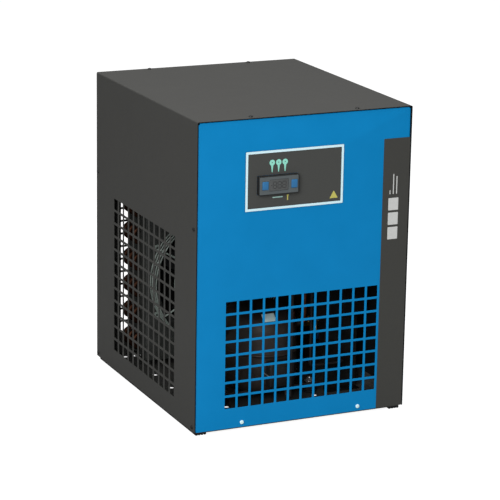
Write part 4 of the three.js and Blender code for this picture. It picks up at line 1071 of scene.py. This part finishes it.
def exchanger():
    core_low, core_high = PLACES["exchanger_core"]
    for hand in ("left", "right"):
        first, last = PLACES[f"insulation_{hand}"]
        bm = bmesh.new()
        add_box(bm, first, last, 5, 4)
        piece(f"foam_half_{hand}", bm, FOAM, f"insulation_{hand}")
    first, last = low("insulation_left"), high("insulation_right")
    bm = bmesh.new()
    for z in (first.z + 70, last.z - 70):
        corners = [
            Vector((a, b, z)) for a, b in
            rectangle((first.x + last.x) / 2, (first.y + last.y) / 2, last.x - first.x + 1.2, last.y - first.y + 1.2, 6, 6)
        ]
        inner = [c + (Vector(((first.x + last.x) / 2, (first.y + last.y) / 2, z)) - c).normalized() * 1.0 for c in corners]
        loops = []
        for path, dz in ((corners, -4), (corners, 4), (inner, 4), (inner, -4)):
            loops.append([bm.verts.new(p + Vector((0, 0, dz))) for p in path])
        count = len(corners)
        for one, two in zip(loops, loops[1:] + loops[:1]):
            for i in range(count):
                j = (i + 1) % count
                bm.faces.new((one[i], one[j], two[j], two[i]))
    piece("foam_straps", bm, PALE)
    bm = bmesh.new()
    at = middle("drain_valve_body")
    add_rod(bm, "z", (at.x, middle("drain_solenoid").y - 40.3, 0), 7.5, core_low.z, core_low.z + 30, 28, 0.6)
    y, z = middle("suction_line").y, high("suction_line").z - 7
    add_rod(bm, "x", (0, y, z), 5.5, core_low.x, core_low.x + 22, 28, 0.6)
    piece("exchanger_stubs", bm, COPPER, "exchanger_core")

    stand_low, stand_high = PLACES["exchanger_stand"]
    bm = bmesh.new()
    sheet = flat_sheet(
        [(stand_low.x, stand_low.y), (stand_high.x, stand_low.y), (stand_high.x, stand_high.y), (stand_low.x, stand_high.y)],
        [circle(at.x, middle("drain_solenoid").y - 40.3, 13, 32)],
    )
    add_plate(bm, sheet, lambda a, b, c: (a, b, c), stand_high.z - 1.2, stand_high.z)
    sheet.free()
    for y0 in (stand_low.y, stand_high.y - 1.2):
        add_box(bm, (stand_low.x, y0, stand_low.z), (stand_high.x, y0 + 1.2, stand_high.z - 1.2))
    for y0, y1 in ((stand_low.y - 14, stand_low.y), (stand_high.y, stand_high.y + 14)):
        add_box(bm, (stand_low.x, y0, stand_low.z), (stand_high.x, y1, stand_low.z + 1.2))
    piece("exchanger_stand_sheet", bm, BLACK_FIXING, "exchanger_stand", edge=0.2)


def hexagon_nut(bm, axis, centre, bore, across, start, end):
    """A hexagon nut with chamfered corners."""
    corner = across / math.sqrt(3)
    chamfer = (corner - across / 2) * 0.6
    profile = [(bore, start), (corner - chamfer, start), (corner, start + chamfer)]
    profile += [(corner, end - chamfer), (corner - chamfer, end), (bore, end)]
    return add_turned(bm, axis, centre, profile, 6)


def air_pipes():
    panel_face = high("back_panel").y
    for name in ("air_inlet", "air_outlet"):
        first, last = PLACES[name + "_pipe"]
        at = middle(name + "_pipe")
        centre = (at.x, 0, at.z)
        bm = bmesh.new()
        add_turned(bm, "y", centre, [
            (10.5, first.y), (13.5, first.y), (13.5, panel_face - 10), (15.5, panel_face - 9), (15.5, panel_face + 1),
            (20.2, panel_face + 8.6), (21, panel_face + 10), (21, last.y - 1), (20, last.y), (13.6, last.y),
            (12.4, last.y - 1.4), (12.4, last.y - 18), (10.5, last.y - 18),
        ], 48)
        for turn in range(9):
            at_y = last.y - 2.4 - turn * 1.8
            ridge = [(12.6, at_y - 0.7), (12.6, at_y + 0.7), (11.7, at_y)]
            add_turned(bm, "y", centre, ridge, 48)
        hexagon_nut(bm, "y", centre, 16.2, 36, panel_face + 0.4, panel_face + 8)
        hexagon_nut(bm, "y", centre, 14.2, 34, panel_face - 9, panel_face - 2.4)
        piece(name + "_port", bm, BRASS, name + "_pipe", crease=30)


# ---------------------------------------------------------------- refrigerant lines

def brazed(bm, axis, centre, radius, at, sign):
    """A socket swelling with a bead of braze at the end of a tube."""
    steps = [(0.0, 1.9), (0.8, 2.2), (1.6, 1.5), (10, 1.3), (11, 0.5), (11.5, 0)]
    profile = [(radius - 0.4, at)] + [(radius + grow, at + sign * back) for back, grow in steps]
    add_turned(bm, axis, centre, profile + [(radius - 0.4, at + sign * 11.5)], 20)


def lines():
    heights, depths = coil_rows()
    coil_end = high("condenser_core").x + COIL["tail"]
    discharge_low, discharge_high = PLACES["discharge_line"]
    riser = (discharge_low.x + high("discharge_line").x) / 2
    comp = middle("compressor_shell")
    y = discharge_low.y + 4
    top = discharge_high.z - 4
    riser = LEFT + 275
    turn = discharge_high.x - 4
    corners = [
        (comp.x + 66 + 9, y, 128), (riser, y, 128), (riser, y, top), (riser, depths[0], top),
        (turn, depths[0], top), (turn, depths[0], heights[-1]), (coil_end, depths[0], heights[-1]),
    ]
    bm = bmesh.new()
    add_tube(bm, rounded(corners, 6, 6), 4.0, 14)
    brazed(bm, "x", (0, depths[0], heights[-1]), 4.4, coil_end, 1)
    piece("discharge_pipe", bm, COPPER, "discharge_line")

    first, last = PLACES["suction_line"]
    y = middle("suction_line").y
    z_top, z_low, x_turn = last.z - 7, first.z + 7, first.x + 7
    x_end = comp.x - 66 - 9
    corners = [(last.x, y, z_top), (x_turn, y, z_top), (x_turn, y, z_low), (x_end, y, z_low)]
    path = rounded(corners, 13, 8)
    bm = bmesh.new()
    add_tube(bm, path, 5.2, 14)
    piece("suction_pipe", bm, COPPER)
    fine = []
    for one, two in zip(path, path[1:]):
        count = max(1, round((two - one).length / 6))
        fine += [one.lerp(two, k / count) for k in range(count)]
    fine = fine[1:-1]
    bulge = [7.0 + 0.12 * math.sin(k * 1.7) for k in range(len(fine))]
    bm = bmesh.new()
    add_tube(bm, fine, bulge, 18)
    piece("suction_sleeve", bm, FOAM, "suction_line")

    drier_low, drier_high = PLACES["filter_drier"]
    drier = middle("filter_drier")
    corners = [
        (coil_end, depths[-1], heights[0]), (drier.x, depths[-1], heights[0]), (drier.x, drier.y, heights[0]),
        (drier.x, drier.y, drier_low.z),
    ]
    bm = bmesh.new()
    add_tube(bm, rounded(corners, 10, 6), 3.2, 14)
    brazed(bm, "x", (0, depths[-1], heights[0]), 4.4, coil_end, 1)
    piece("liquid_pipe", bm, COPPER, "liquid_line")

    bm = bmesh.new()
    z0, z1, radius = drier_low.z, drier_high.z, 11.0
    can = [(0, z0), (4, z0), (4.4, z0 + 7), (7, z0 + 9.5), (10, z0 + 13), (radius, z0 + 17), (radius, z0 + 30)]
    can += [(radius - 0.7, z0 + 31), (radius - 0.7, z0 + 33), (radius, z0 + 34), (radius, z1 - 20), (10, z1 - 15)]
    can += [(7, z1 - 10), (3.6, z1 - 7), (3.2, z1), (0, z1)]
    add_turned(bm, "z", (drier.x, drier.y, 0), can, 36)
    piece("filter_drier_can", bm, COPPER, "filter_drier")
    capillary(drier)
    hot_gas_valve(y)


def capillary(drier):
    """A close coil of thin tube above the drier, then a run to the heat exchanger."""
    first, last = PLACES["capillary_tube"]
    turns, per_turn, rise, radius = 4, 24, 9.0, 17.0
    base = first.z + 16
    path = [Vector((drier.x, drier.y, first.z)), Vector((drier.x, drier.y, base - 6))]
    for i in range(turns * per_turn + 1):
        angle = 2 * math.pi * i / per_turn - math.pi / 2
        x, y = drier.x + radius * math.cos(angle), drier.y + radius + radius * math.sin(angle)
        path.append(Vector((x, y, base + rise * i / per_turn)))
    top = last.z - 1.5
    entry = LEFT + 352
    ends = rounded([path[-1], (drier.x - 1, drier.y - 8, top), (entry, first.y, top)], 5, 4)
    bm = bmesh.new()
    add_tube(bm, path + ends[1:], 1.35, 10)
    piece("capillary", bm, COPPER, "capillary_tube")


def hot_gas_valve(suction_y):
    first, last = PLACES["hot_gas_valve"]
    x, y = LEFT + 240, low("discharge_line").y + 4
    bm = bmesh.new()
    body = [(0, 286), (7, 286), (8, 288), (8, 296), (12, 299), (12, 311)]
    body += [(15, 312.5), (15, 318), (13, 320), (13, 322), (11.5, 323), (11.5, 334), (9, 338), (0, 338)]
    add_turned(bm, "z", (x, y, 0), body, 36)
    hexagon_nut(bm, "z", (x, y, 0), 2, 17, 337, 344)
    add_rod(bm, "z", (x, y, 0), 4, 343, last.z, 20, 0.8)
    piece("hot_gas_valve_body", bm, BRASS, "hot_gas_valve", edge=0.3)
    bm = bmesh.new()
    add_rod(bm, "x", (0, y, 314), 3.6, x + 12, last.x, 18)
    corners = [(x, y, 288), (x, y, 262), (x, suction_y - 7, 262)]
    add_tube(bm, rounded(corners, 6, 5), 3.2, 14)
    piece("hot_gas_pipes", bm, COPPER)


# ---------------------------------------------------------------- condensate drain

def drain():
    body_low, body_high = PLACES["drain_valve_body"]
    x = middle("drain_valve_lever").x
    lever_low, lever_high = PLACES["drain_valve_lever"]
    pivot_z = lever_high.z - 6
    y = body_low.y + 16
    centre = (x, y, 0)
    bm = bmesh.new()
    body = [(0, body_low.z), (9, body_low.z), (9.6, body_low.z + 2), (9.6, body_low.z + 5), (12.5, pivot_z - 10)]
    body += [(13, pivot_z), (12.5, pivot_z + 10), (9.4, pivot_z + 13), (9, body_high.z), (0, body_high.z)]
    add_turned(bm, "z", centre, body, 32)
    hexagon_nut(bm, "z", centre, 3, 22, body_high.z - 9, body_high.z - 0.4)
    add_rod(bm, "y", (x, 0, pivot_z), 6, body_low.y, y, 24, 0.6)
    add_rod(bm, "y", (x, 0, body_low.z + 14), 6.5, y, body_high.y, 24, 0.6)
    hexagon_nut(bm, "y", (x, 0, body_low.z + 14), 3, 15, body_high.y - 7, body_high.y - 0.3)
    piece("drain_valve", bm, BRASS, "drain_valve_body", edge=0.3)

    bm = bmesh.new()
    tip = lever_low.z
    outline = []
    for step in range(13):
        angle = -math.pi * 0.15 + math.pi * 1.3 * step / 12
        outline.append((x + 6 * math.cos(angle), pivot_z + 6 * math.sin(angle)))
    outline += [(x - 4.4, pivot_z - 9), (x - 4.4, tip + 16)]
    outline += [(x - 5.5 * math.cos(a), tip + 6 - 6 * math.sin(a)) for a in [math.pi * s / 8 for s in range(9)]]
    outline += [(x + 4.4, tip + 16), (x + 4.4, pivot_z - 9)]
    verts = add_prism(bm, "y", outline, lever_low.y + 0.8, lever_low.y + 3.6)
    for vert in verts:
        if vert.co.z < pivot_z - 9:
            vert.co.y -= 0.7
    hexagon_nut(bm, "y", (x, 0, pivot_z), 1.5, 8.5, lever_low.y + 0.1, lever_low.y + 3)
    add_rod(bm, "y", (x, 0, pivot_z), 5, lever_low.y + 3.4, lever_high.y, 24)
    piece("drain_lever_handle", bm, LEVER, "drain_valve_lever", body="drain_lever", edge=0.5)

    first, last = PLACES["drain_solenoid"]
    at = middle("drain_solenoid")
    bm = bmesh.new()
    add_box(bm, (x - 12, first.y + 1, first.z), (x + 12, last.y - 1, first.z + 24), 2, 3)
    piece("drain_solenoid_base", bm, BRASS)
    bm = bmesh.new()
    add_box(bm, (first.x, first.y, last.z - 22), (last.x, last.y, last.z), 3, 4)
    add_rod(bm, "z", (at.x, at.y, 0), 7, first.z + 20, last.z - 20, 28)
    add_box(bm, (at.x - 9, last.y - 3, last.z - 20), (at.x + 9, last.y + 13, last.z - 4), 2, 3)
    piece("drain_coil", bm, CASE, "drain_solenoid")
    bm = bmesh.new()
    hexagon_nut(bm, "z", (at.x, at.y, 0), 0.8, 12, last.z - 0.4, last.z + 4)
    piece("drain_coil_nut", bm, BRIGHT)

    hose_low, hose_high = PLACES["drain_hose"]
    outlet = middle("drain_outlet")
    corners = [
        (x, hose_low.y, 98), (x, hose_low.y + 16, 98), (outlet.x, hose_low.y + 16, 98),
        (outlet.x, hose_low.y + 16, outlet.z), (outlet.x, hose_high.y, outlet.z),
    ]
    bm = bmesh.new()
    add_tube(bm, rounded(corners, 14, 8), 4, 16)
    piece("drain_hose_tube", bm, HOSE, "drain_hose")
    face = high("back_panel").y
    first, last = PLACES["drain_outlet"]
    bm = bmesh.new()
    nipple = [(2.5, first.y), (4, first.y), (6, first.y + 6), (6, face + 0.3), (7, face + 1), (7, face + 7)]
    nipple += [(4.6, face + 7.6), (4.6, last.y - 9), (5.6, last.y - 8.8), (4.6, last.y - 5.6), (5.6, last.y - 5.4)]
    nipple += [(4.6, last.y - 2.2), (5.4, last.y - 2), (4.4, last.y), (2.5, last.y)]
    add_turned(bm, "y", (outlet.x, 0, outlet.z), nipple, 32)
    hexagon_nut(bm, "y", (outlet.x, 0, outlet.z), 6.4, 15.6, face + 0.3, face + 6)
    hexagon_nut(bm, "y", (outlet.x, 0, outlet.z), 6.2, 15.6, face - 6.6, face - 1.5)
    piece("drain_nipple", bm, BRASS, "drain_outlet", crease=30)


# ---------------------------------------------------------------- electrics

def cord():
    """The power cord stowed as a coil behind the cabinet, tied once, with its moulded plug."""
    first, last = PLACES["power_cord"]
    face, gland = high("back_panel").y, middle("cord_gland")
    loop, radius, turns, per_turn = 56.0, 3.6, 2.25, 40
    centre = Vector((LEFT + 170, 0, 430))
    lead = [(gland.x, face - 6, gland.z), (gland.x, face + 11, gland.z)]
    start_y = face + 3 + radius
    lead += [(gland.x + 8, face + 17, gland.z - 16), (gland.x + 38, start_y + 3, centre.z - loop + 3)]
    path = rounded(lead + [(centre.x, start_y, centre.z - loop)], 9, 6)[:-1]
    for i in range(int(turns * per_turn) + 1):
        angle = 2 * math.pi * i / per_turn - math.pi / 2
        y = start_y + (2 * radius + 0.2) * i / per_turn
        path.append(Vector((centre.x + loop * math.cos(angle), y, centre.z + loop * math.sin(angle))))
    bm = bmesh.new()
    add_tube(bm, path, radius, 16)
    piece("cord_coil", bm, CORD, "power_cord")
    end = path[-1]
    bm = bmesh.new()
    add_box(bm, (end.x - 10, end.y - 7, end.z + 8), (end.x + 10, end.y + 4.5, end.z + 40), 3.5, 5)
    collar = [(0, -2), (3.9, -2), (4.6, 0), (5.6, 12), (0, 12)]
    add_turned(bm, "z", (end.x, end.y - 0.6, end.z), collar, 28)
    for rib in range(4):
        at = -0.5 + rib * 2.6
        add_turned(bm, "z", (end.x, end.y - 0.6, end.z), [(4, at), (5.6, at), (5.6, at + 1.2), (4, at + 1.2)], 28)
    piece("cord_plug", bm, CORD)
    bm = bmesh.new()
    for side in (-6, 6):
        add_rod(bm, "z", (end.x + side, end.y - 1, end.z), 2.1, 39, 56, 20, 1.0)
    piece("plug_pins", bm, BRIGHT)

    bm = bmesh.new()
    tie_y = start_y + 8
    tie = rounded([
        (centre.x - loop - 6, tie_y - 14, centre.z), (centre.x - loop + 6, tie_y - 14, centre.z),
        (centre.x - loop + 6, tie_y + 12, centre.z), (centre.x - loop - 6, tie_y + 12, centre.z),
        (centre.x - loop - 6, tie_y - 12, centre.z),
    ], 3, 4)
    add_tube(bm, tie, 1.1, 8)
    piece("cord_tie", bm, RUBBER)

    bm = bmesh.new()
    at = (gland.x, 0, gland.z)
    add_turned(bm, "y", at, [
        (4.2, face - 9), (7.5, face - 9), (7.5, face + 8), (9.2, face + 8), (9.2, face + 9.5), (6.2, face + 11.3),
        (4.2, face + 11.3),
    ], 32)
    hexagon_nut(bm, "y", at, 7.6, 19.6, face + 0.3, face + 5.4)
    hexagon_nut(bm, "y", at, 7.4, 19.6, face - 6.6, face - 1.5)
    piece("gland_nut", bm, CASE, "cord_gland", edge=0.3)


def main_switch():
    face, at = high("back_panel").y, middle("switch_body")
    first, last = PLACES["switch_body"]
    bm = bmesh.new()
    for half_x, half_z, y0, y1 in ((13, 17, face + 0.3, last.y), (10.6, 14.6, first.y, face + 0.4)):
        sheet = flat_sheet(
            rectangle(at.x, at.z, 2 * half_x, 2 * half_z, 1.6), [rectangle(at.x, at.z, 17, 25.4, 0.8)]
        )
        add_plate(bm, sheet, lambda a, b, c: (a, c, b), y0, y1)
        sheet.free()
    add_box(bm, (at.x - 9, first.y, at.z - 13), (at.x + 9, face - 9.4, at.z + 13))
    piece("switch_case", bm, CASE, "switch_body", edge=0.4)
    bm = bmesh.new()
    half = 11.2
    outline = [(face + 4.5, at.z - half), (face - 1, at.z - half), (face - 4.5, at.z - 4), (face - 4.5, at.z + 4)]
    outline += [(face - 4, at.z + half), (face + 0.4, at.z + half)]
    for step in range(9):
        share = step / 8
        z = at.z + half * 0.86 - 2 * half * 0.86 * share
        line = 0.4 + 4.1 * share
        outline.append((face + line - 2.1 * math.sin(math.pi * share), z))
    width = 7.6
    add_prism(bm, "x", outline, at.x - width, at.x + width)
    piece("rocker_cap", bm, GREEN, "switch_rocker", body="power_rocker", edge=0.6)


def wiring():
    """Leads from the controller down to the compressor, the fan and the drain."""
    window = middle("controller_housing")
    back = high("controller_housing").y
    shelf = back + 24
    fan_at, cover = middle("fan_motor"), middle("terminal_cover")
    solenoid = middle("drain_solenoid")
    runs = {
        "lead_compressor": [
            (window.x - 18, back, window.z), (window.x - 18, shelf, window.z), (window.x - 18, shelf, 250),
            (cover.x + 12, low("terminal_cover").y - 8, 250), (cover.x + 12, low("terminal_cover").y - 8, 24),
            (cover.x + 12, low("terminal_cover").y + 10, 24), (cover.x + 12, low("terminal_cover").y + 10, 40),
        ],
        "lead_fan": [
            (window.x + 4, back, window.z), (window.x + 4, shelf + 6, window.z), (window.x + 4, shelf + 6, 300),
            (fan_at.x, low("fan_motor").y + 16, 300), (fan_at.x, low("fan_motor").y + 16, fan_at.z + 48),
        ],
        "lead_drain": [
            (window.x + 22, back, window.z), (window.x + 22, shelf, window.z), (window.x + 22, shelf, 330),
            (LEFT + 268, FRONT + 110, 330), (LEFT + 268, FRONT + 110, 60), (solenoid.x, FRONT + 110, 60),
            (solenoid.x, high("drain_solenoid").y + 10, 60), (solenoid.x, high("drain_solenoid").y + 10, 118),
        ],
    }
    for name, corners in runs.items():
        bm = bmesh.new()
        add_tube(bm, rounded(corners, 7, 5), 2.4, 10)
        piece(name, bm, CORD)


# ---------------------------------------------------------------- studio

def by_ray(tree, seen, lighting):
    """Shows one shader to the camera and another to everything else."""
    mix, path = tree.nodes.new("ShaderNodeMixShader"), tree.nodes.new("ShaderNodeLightPath")
    tree.links.new(path.outputs["Is Camera Ray"], mix.inputs[0])
    tree.links.new(lighting, mix.inputs[1])
    tree.links.new(seen, mix.inputs[2])
    return mix.outputs[0]


def stage():
    """A white floor and surround for the camera, which light the cabinet much less than the lamps do."""
    bm = bmesh.new()
    bmesh.ops.create_grid(bm, x_segments=1, y_segments=1, size=40)
    mesh = bpy.data.meshes.new("studio_floor")
    bm.to_mesh(mesh)
    bm.free()
    floor = bpy.data.objects.new("studio_floor", mesh)
    bpy.context.scene.collection.objects.link(floor)
    paint = bpy.data.materials.new("studio_floor")
    paint.use_nodes = True
    tree = paint.node_tree
    pale, dim = tree.nodes["Principled BSDF"], tree.nodes.new("ShaderNodeBsdfDiffuse")
    pale.inputs["Base Color"].default_value = (0.3, 0.3, 0.3, 1)
    pale.inputs["Roughness"].default_value = 1
    pale.inputs["Specular IOR Level"].default_value = 0
    pale.inputs["Emission Color"].default_value = (1, 1, 1, 1)
    pale.inputs["Emission Strength"].default_value = 0.9
    dim.inputs["Color"].default_value = (0.25, 0.25, 0.25, 1)
    surface = by_ray(tree, pale.outputs[0], dim.outputs[0])
    tree.links.new(surface, tree.nodes["Material Output"].inputs["Surface"])
    mesh.materials.append(paint)

    world = bpy.data.worlds.new("studio")
    bpy.context.scene.world = world
    world.use_nodes = True
    tree = world.node_tree
    seen, lighting = tree.nodes["Background"], tree.nodes.new("ShaderNodeBackground")
    for background, strength in ((seen, 1.0), (lighting, 0.25)):
        background.inputs["Color"].default_value = (1, 1, 1, 1)
        background.inputs["Strength"].default_value = strength
    surface = by_ray(tree, seen.outputs[0], lighting.outputs[0])
    tree.links.new(surface, tree.nodes["World Output"].inputs["Surface"])
    softbox("key_light", (-3.3, -3.8, 2.5), 3.4, 275)
    softbox("top_light", (0.1, 0.1, 3.1), 2.2, 74)


def softbox(name, place, size, power):
    light = bpy.data.lights.new(name, "AREA")
    light.size, light.energy = size, power
    made = bpy.data.objects.new(name, light)
    made.location = place
    aim = Vector((0, 0, 0.27)) - Vector(place)
    made.rotation_mode = "QUATERNION"
    made.rotation_quaternion = aim.to_track_quat("-Z", "Y")
    bpy.context.scene.collection.objects.link(made)


def camera():
    """Looks from the front left and a little above, turned a degree about its own axis."""
    azimuth, elevation, roll = (math.radians(a) for a in (-24.7511, 15.2970, 0.954954))
    height = COVER_HIGH.z - COVER_LOW.z
    distance, shift_right, shift_up = 7.54779 * height, 0.008534 * height, -0.045739 * height
    back = Vector((
        math.sin(azimuth) * math.cos(elevation), -math.cos(azimuth) * math.cos(elevation), math.sin(elevation)
    ))
    right = (-back).cross(Vector((0, 0, 1))).normalized()
    up = right.cross(-back)
    rolled_right = right * math.cos(roll) + up * math.sin(roll)
    rolled_up = -right * math.sin(roll) + up * math.cos(roll)
    centre = (COVER_LOW + COVER_HIGH) / 2
    place = centre + back * distance + rolled_right * shift_right + rolled_up * shift_up
    data = bpy.data.cameras.new("camera")
    data.lens, data.sensor_width = 163.578, 36
    data.clip_start, data.clip_end = 0.1, 100
    made = bpy.data.objects.new("camera", data)
    axes = Matrix((rolled_right, rolled_up, back)).transposed().to_4x4()
    made.matrix_world = Matrix.Translation(place * MM) @ axes
    bpy.context.scene.collection.objects.link(made)
    bpy.context.scene.camera = made


wrap_cover()
front_panel()
back_panel()
base_pan()
screws()
control_panel()
condenser()
fan()
compressor()
exchanger()
air_pipes()
lines()
drain()
cord()
main_switch()
wiring()
stage()
camera()
bpy.context.scene.view_settings.view_transform = "Standard"
